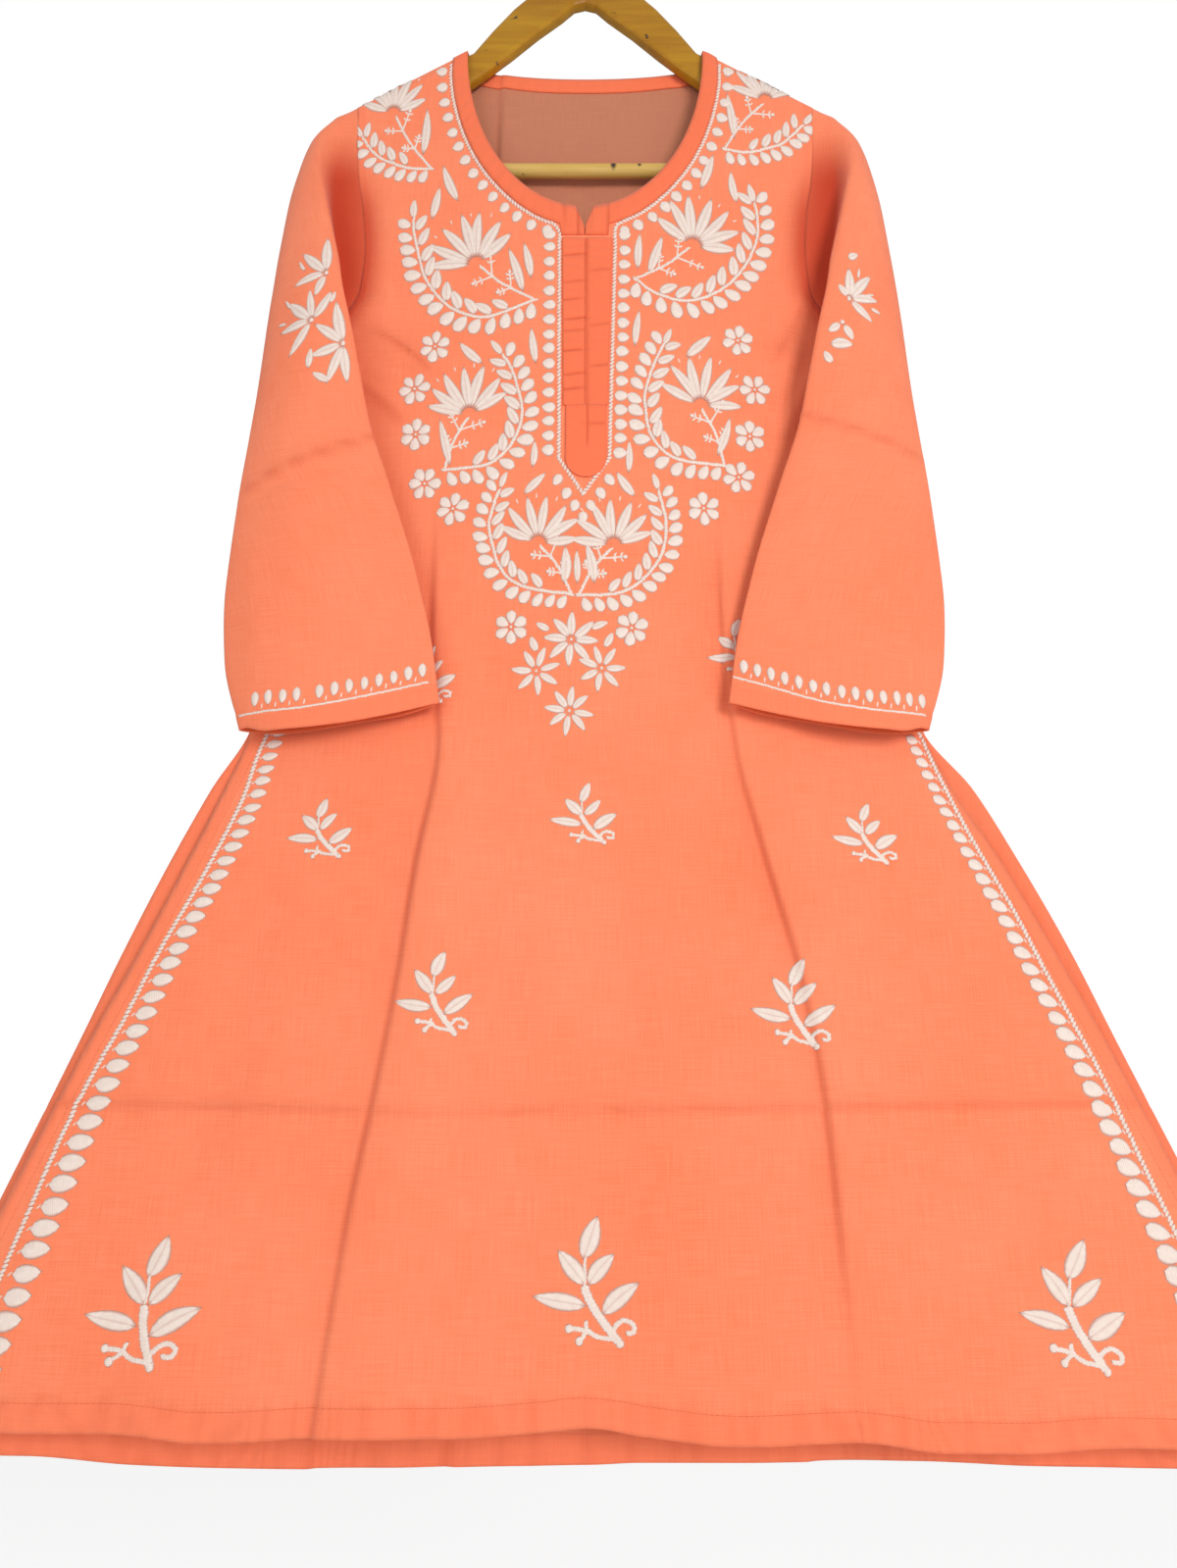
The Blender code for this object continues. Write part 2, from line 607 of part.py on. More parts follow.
def build_hanger(home):
    """The wooden arms and bar, and the steel hook."""
    upper, tip, lower = board_outline()
    half = upper + tip + lower
    outline = half + [(-x, z) for x, z in half[-2:0:-1]]
    curve = bpy.data.curves.new("hanger_arms", "CURVE")
    curve.dimensions = "2D"
    curve.fill_mode = "BOTH"
    spline = curve.splines.new("POLY")
    spline.points.add(len(outline) - 1)
    for point, (x, z) in zip(spline.points, outline):
        point.co = (x * CM, z * CM, 0.0, 1.0)
    spline.use_cyclic_u = True
    curve.extrude = BOARD_THICKNESS / 2 - BOARD_ROUNDING
    curve.bevel_depth = BOARD_ROUNDING
    curve.bevel_resolution = 2
    curve.offset = -BOARD_ROUNDING
    curve.materials.append(material("wood"))
    arms = bpy.data.objects.new("hanger_arms", curve)
    arms.rotation_euler = (math.pi / 2, 0.0, 0.0)
    home.objects.link(arms)
    weld = arms.modifiers.new("weld", "WELD")
    weld.merge_threshold = 0.01 * MM

    bpy.ops.mesh.primitive_cylinder_add(
        vertices=20, radius=BAR_RADIUS, depth=2 * (BAR_HALF - SEAM_GAP),
        location=(0.0, 0.0, BAR_HEIGHT), rotation=(0.0, math.pi / 2, 0.0)
    )
    bar = bpy.context.object
    bar.name = "hanger_bar"
    bar.data.materials.append(material("wood"))
    for other in bar.users_collection:
        other.objects.unlink(bar)
    home.objects.link(bar)

    centre = HOOK_WIRE - HOOK_LOOP
    route = [(0.0, HOOK_FOOT + SEAM_GAP), (0.0, HOOK_FOOT + 8 * MM), (1.5 * MM, HOOK_FOOT + 13 * MM)]
    turns = 20
    for k in range(turns + 1):
        turn = math.radians(-58 + (205 + 58) * k / turns)
        route.append((HOOK_LOOP * math.cos(turn), centre + HOOK_LOOP * math.sin(turn)))
    wire = bpy.data.curves.new("hanger_hook", "CURVE")
    wire.dimensions = "3D"
    spline = wire.splines.new("POLY")
    spline.points.add(len(route) - 1)
    for point, (x, z) in zip(spline.points, route):
        point.co = (x, 0.0, z, 1.0)
    wire.bevel_depth = HOOK_WIRE
    wire.bevel_resolution = 2
    wire.use_fill_caps = True
    wire.materials.append(material("steel"))
    home.objects.link(bpy.data.objects.new("hanger_hook", wire))


def main():
    """Empty the scene and build the kurta on its hanger."""
    for item in list(bpy.data.objects):
        bpy.data.objects.remove(item, do_unlink=True)
    home = bpy.data.collections.new("kurta_on_hanger")
    bpy.context.scene.collection.children.link(home)
    build_cloth(home)
    build_hanger(home)


main()
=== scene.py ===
"""A coral cotton kurta with white hand embroidery, hanging on a wooden hanger.

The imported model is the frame.  Every cloth piece is a fine sheet on the form of
its solid, with creases of its own and a thin wall.  The embroidery is made of
many small raised stitches that are laid on the finished cloth.  Metres, +Z up;
the garment's front faces -Y.  Tables of places are in centimetres.
"""

from __future__ import annotations

import json
import logging
import math
from dataclasses import dataclass
from enum import Enum
from typing import Iterable, Sequence

import bmesh
import bpy
import numpy as np
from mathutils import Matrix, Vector
from mathutils.bvhtree import BVHTree

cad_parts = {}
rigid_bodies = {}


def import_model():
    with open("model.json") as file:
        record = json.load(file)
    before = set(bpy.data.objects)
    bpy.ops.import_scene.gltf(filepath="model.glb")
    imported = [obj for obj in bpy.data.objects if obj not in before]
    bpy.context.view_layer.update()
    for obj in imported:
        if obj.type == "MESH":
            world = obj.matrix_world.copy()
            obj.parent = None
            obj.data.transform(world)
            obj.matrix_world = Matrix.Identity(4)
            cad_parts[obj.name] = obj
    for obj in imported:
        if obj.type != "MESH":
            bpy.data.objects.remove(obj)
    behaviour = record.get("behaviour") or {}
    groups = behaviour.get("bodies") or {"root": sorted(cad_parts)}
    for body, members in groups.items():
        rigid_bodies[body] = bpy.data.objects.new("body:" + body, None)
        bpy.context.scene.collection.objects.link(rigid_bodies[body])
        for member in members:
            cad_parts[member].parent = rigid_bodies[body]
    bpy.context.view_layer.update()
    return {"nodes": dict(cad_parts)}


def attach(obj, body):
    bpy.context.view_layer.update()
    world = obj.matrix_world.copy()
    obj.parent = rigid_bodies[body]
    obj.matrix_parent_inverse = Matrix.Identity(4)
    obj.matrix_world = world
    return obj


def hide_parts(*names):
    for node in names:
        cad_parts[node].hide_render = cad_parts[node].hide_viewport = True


CM = 0.01
MM = 0.001
# A turned edge: how far it lifts the cloth, how softly it ends, and its seam's groove.
TURN_RISE = 0.25 * MM
TURN_SOFT = 1.5 * MM
GROOVE_DEPTH = 0.45 * MM
GROOVE_HALF = 1.3 * MM

log = logging.getLogger("kurta")

Array = np.ndarray
Row = Sequence[float]
Rows = Sequence[Row]
Place = tuple[float, float]
Colour = tuple[float, float, float]
Piece = bpy.types.Object
Material = bpy.types.Material
Socket = bpy.types.NodeSocket
Inputs = dict[str | int, Socket | float | Row]


class Side(Enum):
    """The two faces of the garment."""

    FRONT = "front"
    BACK = "back"

    @property
    def out(self) -> float:
        """The way along Y that it looks."""
        return -1.0 if self is Side.FRONT else 1.0

    @property
    def outwards(self) -> Row:
        """The direction that it looks."""
        return (0.0, self.out, 0.0)


class Hand(Enum):
    """Which side of the garment, as it is seen from its front."""

    LEFT = -1
    RIGHT = 1


# ---------------- smooth tables
class Table:
    """Rows of named columns, read smoothly at any value of the first column."""

    def __init__(self, names: str, rows: Rows) -> None:
        """Sort the rows and work out each column's slopes.

        Args:
            names: The columns' names, the key's first.
            rows: One row of numbers for each key.
        """
        ordered = np.array(sorted(rows), float)
        self.names = names.split()[1:]
        self.keys = ordered[:, 0]
        self.values = ordered[:, 1:]
        slopes = np.diff(self.values, axis=0) / np.diff(self.keys)[:, None]
        product = slopes[:-1] * slopes[1:]
        total = slopes[:-1] + slopes[1:]
        self.bends = np.zeros_like(self.values)
        safe = np.where(product > 0, total, 1.0)
        self.bends[1:-1] = np.where(product > 0, 2 * product / safe, 0.0)
        self.bends[0] = slopes[0]
        self.bends[-1] = slopes[-1]

    def at(self, key: Array | float, name: str) -> Array:
        """Read one column by a monotone cubic, flat beyond both ends.

        Args:
            key: Where to read it.
            name: The column's name.

        Returns:
            The column's value at each key.
        """
        column = self.names.index(name)
        key = np.clip(key, self.keys[0], self.keys[-1])
        k = np.clip(np.searchsorted(self.keys, key) - 1, 0, len(self.keys) - 2)
        step = self.keys[k + 1] - self.keys[k]
        s = (key - self.keys[k]) / step
        low, high = self.values[k, column], self.values[k + 1, column]
        rising, falling = self.bends[k, column], self.bends[k + 1, column]
        return (
            low * (1 + 2 * s) * (1 - s) ** 2
            + high * s * s * (3 - 2 * s)
            + step * s * (1 - s) * (rising * (1 - s) - falling * s)
        )


def smoothstep(value: Array | float) -> Array:
    """A soft rise from 0 to 1 as value goes from 0 to 1."""
    value = np.clip(value, 0.0, 1.0)
    return value * value * (3 - 2 * value)


def crowded(count: int, places: Rows) -> Array:
    """Rising shares from 0 to 1 that lie closer together round some places.

    Args:
        count: How many there are.
        places: Rows of (share, half width, how much closer).

    Returns:
        The shares.
    """
    fine = np.linspace(0.0, 1.0, 3001)
    weight = 1 + sum(more * np.exp(-(((fine - at) / half) ** 2)) for at, half, more in places)
    run = np.concatenate([[0.0], np.cumsum((weight[1:] + weight[:-1]) / 2)])
    return np.interp(np.linspace(0.0, run[-1], count), run, fine)


def between(stops: Row | Rows, steps: int) -> Array:
    """Even steps from each stop to the next.

    Args:
        stops: Numbers or places.
        steps: How many there are to each stretch.

    Returns:
        The steps, without the first stop itself.
    """
    stops = np.array(stops, float)
    part = (np.arange(steps) + 1.0) / steps
    part = part.reshape(-1, *[1] * (stops.ndim - 1))
    return np.concatenate([a + (b - a) * part for a, b in zip(stops[:-1], stops[1:])])


# ---------------- the garment's cut
# The armhole seam, in cm from the centre.
ARMHOLE = Table("height across", (
    (-22.5, 19.5), (-27, 19.3), (-31, 18.9), (-35, 18.25), (-39.5, 17.85),
    (-43, 18.05), (-45.2, 19), (-47.5, 20.5), (-49.5, 22.3),
))

# The side seams, and below the slits' top the free edges of each panel, in cm.
SIDES = Table("height front_left front_right back_left back_right", (
    (-49.5, -22.3, 22.3, -22.3, 22.3),
    (-56, -21.8, 21.9, -21.8, 21.9),
    (-64, -21.6, 21.8, -21.6, 21.8),
    (-72, -22, 22.3, -22, 22.3),
    (-80.5, -23, 23.3, -23.2, 23.5),
    (-85, -24.4, 24.9, -25.5, 26.6),
    (-90, -26.2, 27.5, -27.7, 29.1),
    (-96, -28.5, 30.2, -30, 31.7),
    (-102, -31, 32.7, -32.1, 33.9),
    (-110, -34, 35.8, -35, 36.9),
    (-118, -36.9, 38.8, -37.9, 39.8),
    (-125.6, -39.6, 41.5, -40.6, 42.5),
))

# How far each panel stands from the hanger's middle plane, in mm.
DEPTHS = Table("height front_edge front_middle back_edge back_middle", (
    (-16, 9.5, 9.5, 9.5, 9.5),
    (-24, 9.5, 13, 9.5, 11),
    (-30, 9.5, 16, 9.5, 12.5),
    (-38, 9.5, 18.5, 9.5, 14),
    (-44, 8.5, 20, 8.5, 15.5),
    (-49.5, 0.6, 21, 0.6, 17),
    (-60, 0.6, 21.5, 0.6, 18.5),
    (-80.5, 0.8, 22, 0.8, 19),
    (-90, 3.5, 22, 3.5, 19),
    (-105, 6, 23, 5, 20),
    (-125.6, 8, 24, 7, 21),
))

# Height of the hem under a place across, in cm.
HEMS = Table("across front back", (
    (-40, -123.4, -125), (-32, -123.5, -125.1), (-26, -123.5, -125.6),
    (-21, -123.9, -125.8), (-14.3, -123.6, -125.9), (-7.8, -123.6, -125.8),
    (-3.7, -123.4, -125.7), (0.3, -123.1, -125.7), (3.2, -123.5, -125.6),
    (8.9, -124, -125.6), (15.3, -123.8, -125.5), (19.9, -124.3, -125.5),
    (24.5, -124.4, -125.6), (29.1, -124.2, -125.7), (42, -124.8, -125.8),
))

# Long folds: top and foot in cm, half width in cm, rise in mm (a trough's is below 0).
FOLDS = {
    Side.FRONT: (
        (-8, -62, -12.2, -124, 2.4, 3.2),
        (12.6, -64, 18.6, -124, 2.4, 3.2),
        (2, -84, 3, -124, 2.6, -2),
        (-19, -84, -27, -124, 2.4, -2.5),
        (21, -86, 30, -124, 2.4, -2.5),
    ),
    Side.BACK: (
        (-9, -56, -13.6, -125, 2.4, 3.2),
        (-3, -66, -4, -125, 2.4, -3),
        (11.2, -54, 16, -125, 2.4, 3.2),
        (17, -80, 25, -125, 2.4, -3),
    ),
}


@dataclass(frozen=True)
class Crease:
    """A crease: a soft trough or ridge between two places.

    The places are in cm, width and bow in cm, rise in mm.  A crisp crease comes
    to an edge, as a pressed fold does; bow bends it sideways at its middle, and dark
    is how strong the painted shade along its foot is, 0 to 1.
    """

    x0: float
    z0: float
    x1: float
    z1: float
    width: float
    rise: float
    bow: float = 0.0
    crisp: float = 0.0
    dark: float = 0.0

    def _lies(self, x: Array, z: Array) -> tuple[Array, Array]:
        """Find where places lie along the crease and beside it.

        Args:
            x: Places across, in metres.
            z: Places up, in metres.

        Returns:
            How far along they lie, 0 to 1, and how far beside, in cm.
        """
        run = np.array([self.x1 - self.x0, self.z1 - self.z0])
        length = float(np.hypot(*run))
        along = run / length
        px, pz = x / CM - self.x0, z / CM - self.z0
        s = (px * along[0] + pz * along[1]) / length
        off = pz * along[0] - px * along[1]
        return s, off - self.bow * 4 * s * (1 - s)

    def height(self, x: Array, z: Array) -> Array:
        """What the crease adds to the cloth's height.

        Args:
            x: Places across, in metres.
            z: Places up, in metres.

        Returns:
            The added height at each place, in metres.
        """
        s, off = self._lies(x, z)
        ends = smoothstep(s / 0.3) * smoothstep((1 - s) / 0.3)
        spread = np.abs(off) / self.width
        soft = np.exp(-spread * spread)
        sharp = np.exp(-2.2 * spread)
        return self.rise * MM * ends * (soft * (1 - self.crisp) + sharp * self.crisp)

    def shade(self, x: Array, z: Array) -> Array:
        """How much painted shade places get along the crease and beside it.

        Args:
            x: Places across, in metres.
            z: Places up, in metres.

        Returns:
            A share from 0 to 1 for each.
        """
        s, off = self._lies(x, z)
        ends = smoothstep(s / 0.25) * smoothstep((1 - s) / 0.25)
        broad = 0.35 * np.exp(-((np.maximum(off, 0.0) / 0.7) ** 2)) * (off > 0)
        line = np.exp(-((off / (0.8 * self.width)) ** 2))
        return self.dark * ends * np.maximum(line, broad)


def creases(*rows: Row) -> tuple[Crease, ...]:
    """Creases from rows of their numbers."""
    return tuple(Crease(*row) for row in rows)


@dataclass(frozen=True)
class Ledge:
    """A long pressed fold: the cloth right of its line stands in front of the left.

    The line is a table of (height, across) in cm; step is in mm, the others in cm, but
    broad is how strong the painted shade beside its foot is, 0 to 1.
    """

    line: Table
    top: float
    step: float = 4.0
    wall: float = 0.16
    left: float = 1.3
    right: float = 3.4
    foot: float = -140.0
    broad: float = 0.28

    def _lies(self, x: Array, z: Array) -> tuple[Array, Array, Array]:
        """How far right of the line places lie, in cm, and how it fades at top and foot."""
        off = x / CM - self.line.at(z / CM, "across")
        return off, smoothstep((self.top - z / CM) / 12.0), smoothstep((z / CM - self.foot) / 9.0)

    def height(self, x: Array, z: Array) -> Array:
        """What the fold adds to the cloth's height.

        Args:
            x: Places across, in metres.
            z: Places up, in metres.

        Returns:
            The added height at each place, in metres.
        """
        off, top, foot = self._lies(x, z)
        share = 1 / (1 + np.exp(-np.clip(off / self.wall, -30.0, 30.0) * 1.6))
        before = -0.6 * np.exp(-np.maximum(-off, 0.0) / self.left)
        behind = 0.4 * np.exp(-np.maximum(off, 0.0) / self.right)
        fade = top * (0.35 + 0.65 * foot)
        return self.step * MM * fade * (before * (1 - share) + behind * share)

    def shade(self, x: Array, z: Array) -> Array:
        """How much painted shade places get at the fold's foot and beside it.

        Args:
            x: Places across, in metres.
            z: Places up, in metres.

        Returns:
            A share from 0 to 1 for each.
        """
        off, top, foot = self._lies(x, z)
        uneven = 0.65 + 0.35 * np.sin(z / CM * 0.23 + self.top) * np.sin(z / CM * 0.091)
        line = np.exp(-(((off + 0.16) / 0.26) ** 2)) * 0.8
        soft = np.exp(-np.maximum(-off, 0.0) / 0.9) * (off < 0) * self.broad
        return 0.62 * top * (0.12 + 0.88 * foot) * uneven * np.maximum(line, soft)


def ledge(line: Rows, top: float, *sizes: float, **more: float) -> Ledge:
    """A pressed fold along places (height, across) in cm, with the sizes of a Ledge."""
    return Ledge(Table("height across", line), top, *sizes, **more)


LEDGES = {
    Side.FRONT: (
        ledge(((-60, -10.8), (-73.9, -10.6), (-82.8, -9.7), (-90.9, -10.8), (-98.5, -11.6),
               (-105, -12.5), (-112.7, -13.7), (-123.5, -14.8), (-127, -15)), -62),
        ledge(((-60, 9.9), (-73.2, 9.7), (-82.8, 10.3), (-89.6, 11.7), (-98.5, 13.7),
               (-106.7, 14.7), (-118.4, 15.1), (-127, 15.5)), -62, foot=-120, broad=0.42),
    ),
    Side.BACK: (
        ledge(((-50, -10.6), (-70, -11), (-90, -12.2), (-110, -14.2), (-127, -15.8)),
              -50, 3.4),
        ledge(((-48, 8.6), (-72, 9.2), (-92, 10.4), (-110, 12.2), (-127, 13.4)),
              -48, 3.4),
        ledge(((-20, -7.4), (-34, -7.5), (-60, -7.8)), -12, -3.2, 0.12, 1, 2),
    ),
}

# Creases of each panel: sharp packing folds, then wrinkles from the chest down.  The
# hidden back has the same kinds as the front, uneven in their own way.
CREASES = {
    Side.FRONT: creases(
        (-41, -105.6, -3, -106.6, 0.3, 2, 0.1, 0.8, 0.22),
        (-15, -106.4, 42.5, -105.6, 0.3, 2, -0.1, 0.8, 0.22),
        (-41, -106.5, 42, -106.7, 0.5, -1.2, -0.1, 0.3),
        (-17.4, -46.6, -11.2, -52.3, 0.32, 2, 0.5, 0.5, 0.34),
        (-17.6, -49, -11.9, -53.2, 0.5, -1.8, 0.3),
        (-18.8, -51.4, -13.2, -57, 0.6, 1.7, 0.5, 0.2, 0.3),
        (-17.3, -39.6, -13.4, -44.8, 0.5, -1.4, -0.3),
        (-17.4, -36.2, -15.6, -46.4, 0.6, 1.2, 0.3, 0.3),
        (-20.4, -54, -16.4, -61, 0.9, 1.5, 0.5),
        (17.6, -43, 14.2, -51, 0.4, 1.7, 0.4, 0.4, 0.3),
        (18.2, -47, 14.6, -55.4, 0.6, -1.6, 0.3),
        (19.4, -49, 14.8, -59, 0.5, 1.5, -0.4, 0.4, 0.28),
        (20, -53, 16, -62, 0.9, 1.3, -0.5),
        (-16.8, -60, -13.6, -78, 1.4, -1.6, 0.6),
        (16.9, -60, 15, -80, 1.4, -1.5, -0.6), (-4, -84, -3, -104, 2.4, 1.2, 0.6),
        (4.6, -90, 6.6, -122, 2.6, 1.3, -0.8), (-19, -88, -22, -104, 1.8, 1.3, 0.7),
        (-24, -108, -26, -126, 1.6, 1.5, 0.3),
        (-31, -104, -34, -125, 1.4, 1.3, 0.2),
        (22, -92, 26, -112, 1.8, 1.2, -0.6),
        (27.5, -110, 30, -127, 1.5, 1.4, 0.3),
        (-20, -112, -20.6, -127, 1.2, -1.4, 0.1),
        (-6, -111, -6.8, -127, 1.2, 1.1, 0.2),
        (0.6, -108, 1, -127, 1.4, -1.2, -0.3),
        (20.5, -110, 21.4, -127, 1.3, -1.5, 0.2),
        (36, -112, 38, -127, 1.2, 1.2, 0.1),
        (-15, -25.4, -17.6, -33.6, 0.8, 0.8, 0.3), (14.6, -25, 17.4, -34, 0.8, 0.8, -0.3),
        (-7.6, -64.6, -7, -83, 1.2, -1.1, 0.4), (7, -66, 6.4, -84, 1.2, -1.1, -0.4),
    ),
    Side.BACK: creases(
        (-40, -106, 4, -106.5, 0.3, 1.2, 0.1, 0.8),
        (-2, -106.5, 42, -105.7, 0.3, 1.2, 0.1, 0.8),
        (5.8, -21, 6.6, -44, 0.6, 1, 0.3, 0.6), (-1, -24, 0.2, -52, 1.6, 1.2, 0.5),
        (-17, -42, -12, -52, 0.7, 1.3, 0.5), (17.2, -43, 12.6, -50, 0.7, 1.3, -0.5),
        (-20.4, -55, -15.4, -63, 0.9, -1.5, 0.5),
        (20.2, -54, 16, -64, 0.9, 1.5, -0.5), (-4.6, -66, -3, -96, 2, 1.4, 0.6),
        (3.6, -80, 5, -118, 2.4, 1.4, -0.8), (-22, -92, -26, -118, 1.8, 1.5, 0.6),
        (-31, -104, -34.4, -127, 1.4, 1.4, 0.2),
        (22.4, -96, 25, -120, 1.8, -1.5, -0.6),
        (31, -106, 34, -127, 1.4, 1.5, 0.2),
        (-8.4, -110, -9, -128, 1.3, 1.3, 0.2),
        (18.4, -112, 19.6, -128, 1.3, 1.3, 0.2),
    ),
}


@dataclass(frozen=True)
class KurtaCut:
    """The cut that both panels share.

    Lengths are in metres, but armhole_heights and chest_split, places across, are in
    cm.  From the neck edge's angle neck_corner, in degrees, a ray runs to the underarm.
    """

    neck_half: float = 10.3 * CM
    neck_top: float = -15.9 * CM
    neck_drop_front: float = 19.3 * CM
    neck_drop_back: float = 1.7 * CM
    neck_corner: float = 50.0
    notch_half: float = 0.75 * CM
    notch_depth: float = 2.3 * CM
    shoulder_slope: float = 0.717
    shoulder_tip: float = 19.5 * CM
    roll: float = 9.5 * MM
    underarm: float = -49.5 * CM
    slit_top: float = -80.0 * CM
    armhole_heights: Row = (-25.2, -28.2, -31.6, -35.2, -39.0, -42.4, -45.2, -47.5)
    chest_split: Row = (20.2, 17.8, 15.3, 12.8, 10.3, 7.9, 5.6, 3.6, 2.0)
    roll_turns: int = 4
    wall: float = 1.0 * MM
    turn_up: float = 15 * MM
    seam_allowance: float = 9 * MM

    def shoulder_height(self, x: Array | float) -> Array:
        """Height of the shoulder line over a place across."""
        return self.neck_top - self.shoulder_slope * (np.abs(x) - self.neck_half)

    def half_width(self, z: Array | float) -> Array:
        """Half the yoke's width at a height, to the armhole seam."""
        return ARMHOLE.at(np.asarray(z) / CM, "across") * CM

    def edges(self, side: Side, z: Array) -> tuple[Array, Array]:
        """Left and right edge of a panel.

        Args:
            side: Which panel.
            z: The heights.

        Returns:
            The two edges' places across at each height.
        """
        high = z > self.underarm
        half = self.half_width(z)
        left = SIDES.at(z / CM, f"{side.value}_left") * CM
        right = SIDES.at(z / CM, f"{side.value}_right") * CM
        return np.where(high, -half, left), np.where(high, half, right)

    def neck_drop(self, side: Side) -> float:
        """How far the neck is cut down at its middle."""
        return self.neck_drop_front if side is Side.FRONT else self.neck_drop_back

    def neck_point(self, side: Side, angle: float) -> Place:
        """A point of the neck edge: 0 at the left shoulder, pi at the right."""
        z = self.neck_top - self.neck_drop(side) * math.sin(angle)
        return -self.neck_half * math.cos(angle), z

    def neck_angle_below(self, side: Side, drop: float) -> float:
        """Find where the neck edge lies a given height below the shoulder line.

        Args:
            side: Which panel.
            drop: That height.

        Returns:
            The neck edge's angle there.
        """
        low, high = 0.0, math.pi / 2
        for _ in range(50):
            middle = (low + high) / 2
            x, z = self.neck_point(side, middle)
            if self.shoulder_height(x) - z < drop:
                low = middle
            else:
                high = middle
        return low

    def depth(self, side: Side, x: Array, z: Array) -> Array:
        """How far a panel's middle surface stands from the hanger's middle plane.

        Args:
            side: Which panel.
            x: Places across.
            z: Places up.

        Returns:
            The depth at each place, at least nought.
        """
        x, z = np.asarray(x, float), np.asarray(z, float)
        left, right = self.edges(side, z)
        t = np.minimum(np.abs(2 * x - left - right) / (right - left), 1.0)
        edge = DEPTHS.at(z / CM, f"{side.value}_edge") * MM
        middle = DEPTHS.at(z / CM, f"{side.value}_middle") * MM
        full = edge + (middle - edge) * (1 - t ** 2.2) ** 0.9
        full = full + self._folds(FOLDS[side], x, z) * (1 - t ** 6)
        held = np.where(z > self.slit_top, 1 - t ** 8, 1.0)
        marks = CREASES[side] + LEDGES[side]
        full = full + sum(mark.height(x, z) for mark in marks) * held
        drop = (self.shoulder_height(x) - z) / math.hypot(1, self.shoulder_slope)
        rise = self.roll - np.maximum(drop, 0.0)
        turned = np.sqrt(np.maximum(self.roll**2 - np.maximum(rise, 0.0) ** 2, 0.0))
        full = np.where(drop < self.roll, np.minimum(full, turned), full)
        return np.maximum(full, 0.0)

    @staticmethod
    def _folds(folds: Rows, x: Array, z: Array) -> Array:
        """What the long folds add to a panel's depth.

        Args:
            folds: Rows of FOLDS.
            x: Places across.
            z: Places up.

        Returns:
            The added depth at each place.
        """
        total = np.zeros_like(x)
        for top_x, top_z, foot_x, foot_z, width, rise in folds:
            s = (top_z * CM - z) / ((top_z - foot_z) * CM)
            below = np.maximum(s, 0.0)
            middle = (top_x + (foot_x - top_x) * below ** 1.3) * CM
            spread = (x - middle) / (width * CM * (0.6 + 0.5 * s))
            fade = smoothstep(s / 0.35)
            total += np.where(s > 0, rise * MM * fade * np.exp(-spread * spread), 0.0)
        return total

    def place(self, side: Side, x: Array, z: Array) -> Array:
        """Points of a panel's middle surface at places (x, z)."""
        y = self.depth(side, x, z)
        return np.stack([x, y * side.out, z], axis=-1)


# ---------------- sheets of cloth
@dataclass(frozen=True)
class Weave:
    """A grid of points of cloth, with its place in the weave and what doubles it.

    points is (rows, columns, 3) in metres, flat is (rows, columns, 2) in metres of
    cloth, and double and hollow are (rows, columns): double is 1 where the cloth is
    turned or seamed, and hollow is painted shade, 0 to 1, in folds, creases and valleys.
    """

    points: Array
    flat: Array
    double: Array
    painted_shade: Array


def add_weave(mesh: bmesh.types.BMesh, weave: Weave) -> None:
    """Add a Blender grid to a mesh and move it to the weave's points.

    Args:
        mesh: The mesh that gets it.
        weave: The points, with their UV, the attribute of double cloth and that of painted shade.
    """
    rows, columns = weave.double.shape
    uv = mesh.loops.layers.uv.verify()
    layers = mesh.verts.layers.float
    turned = layers.get("double") or layers.new("double")
    # This layer holds the painted shade that darkens the cotton in folds, creases and valleys.
    deep = layers.get("painted_shade") or layers.new("painted_shade")
    made = bmesh.ops.create_grid(mesh, x_segments=columns - 1, y_segments=rows - 1, size=1.0)
    ordered = sorted(made["verts"], key=lambda v: (round(v.co.y, 6), round(v.co.x, 6)))
    for vertex, point, place, double, painted_shade in zip(
            ordered, weave.points.reshape(-1, 3), weave.flat.reshape(-1, 2),
            weave.double.flat, weave.painted_shade.flat):
        vertex.co = point
        vertex[turned] = double
        vertex[deep] = painted_shade
        for loop in vertex.link_loops:
            loop[uv].uv = place


def put_in_scene(name: str, data: bpy.types.ID) -> Piece:
    """Make an object of a mesh, a lamp or a camera and link it to the scene."""
    made = bpy.data.objects.new(name, data)
    bpy.context.scene.collection.objects.link(made)
    return made


def cloth_object(name: str, weaves: Iterable[Weave], wall: float,
                 finishes: Sequence[Material], outwards: Row) -> Piece:
    """Make a piece of cloth from its weaves, welded and given a wall.

    Args:
        name: The piece's name.
        weaves: Its grids of points.
        wall: The cloth's thickness.
        finishes: Its material, and a second one for its inner face.
        outwards: The way that its outer face looks, on the whole.

    Returns:
        The piece, with a live Solidify.
    """
    mesh = bmesh.new()
    for weave in weaves:
        add_weave(mesh, weave)
    bmesh.ops.remove_doubles(mesh, verts=mesh.verts, dist=0.01 * MM)
    bmesh.ops.recalc_face_normals(mesh, faces=mesh.faces)
    way = Vector(outwards)
    if sum(face.normal.dot(way) * face.calc_area() for face in mesh.faces) < 0:
        bmesh.ops.reverse_faces(mesh, faces=mesh.faces)
    data = bpy.data.meshes.new(name)
    mesh.to_mesh(data)
    mesh.free()
    data.shade_smooth()
    piece = put_in_scene(name, data)
    for finish in finishes:
        data.materials.append(finish)
    solid = piece.modifiers.new("wall", "SOLIDIFY")
    solid.thickness = wall
    solid.offset = 0.0
    solid.material_offset = len(finishes) - 1
    return piece


def run_along(points: Array) -> Array:
    """How far each point lies along its line; the lines run along the first axis."""
    steps = np.linalg.norm(np.diff(points, axis=0), axis=-1)
    return np.concatenate([np.zeros_like(steps[:1]), np.cumsum(steps, axis=0)])


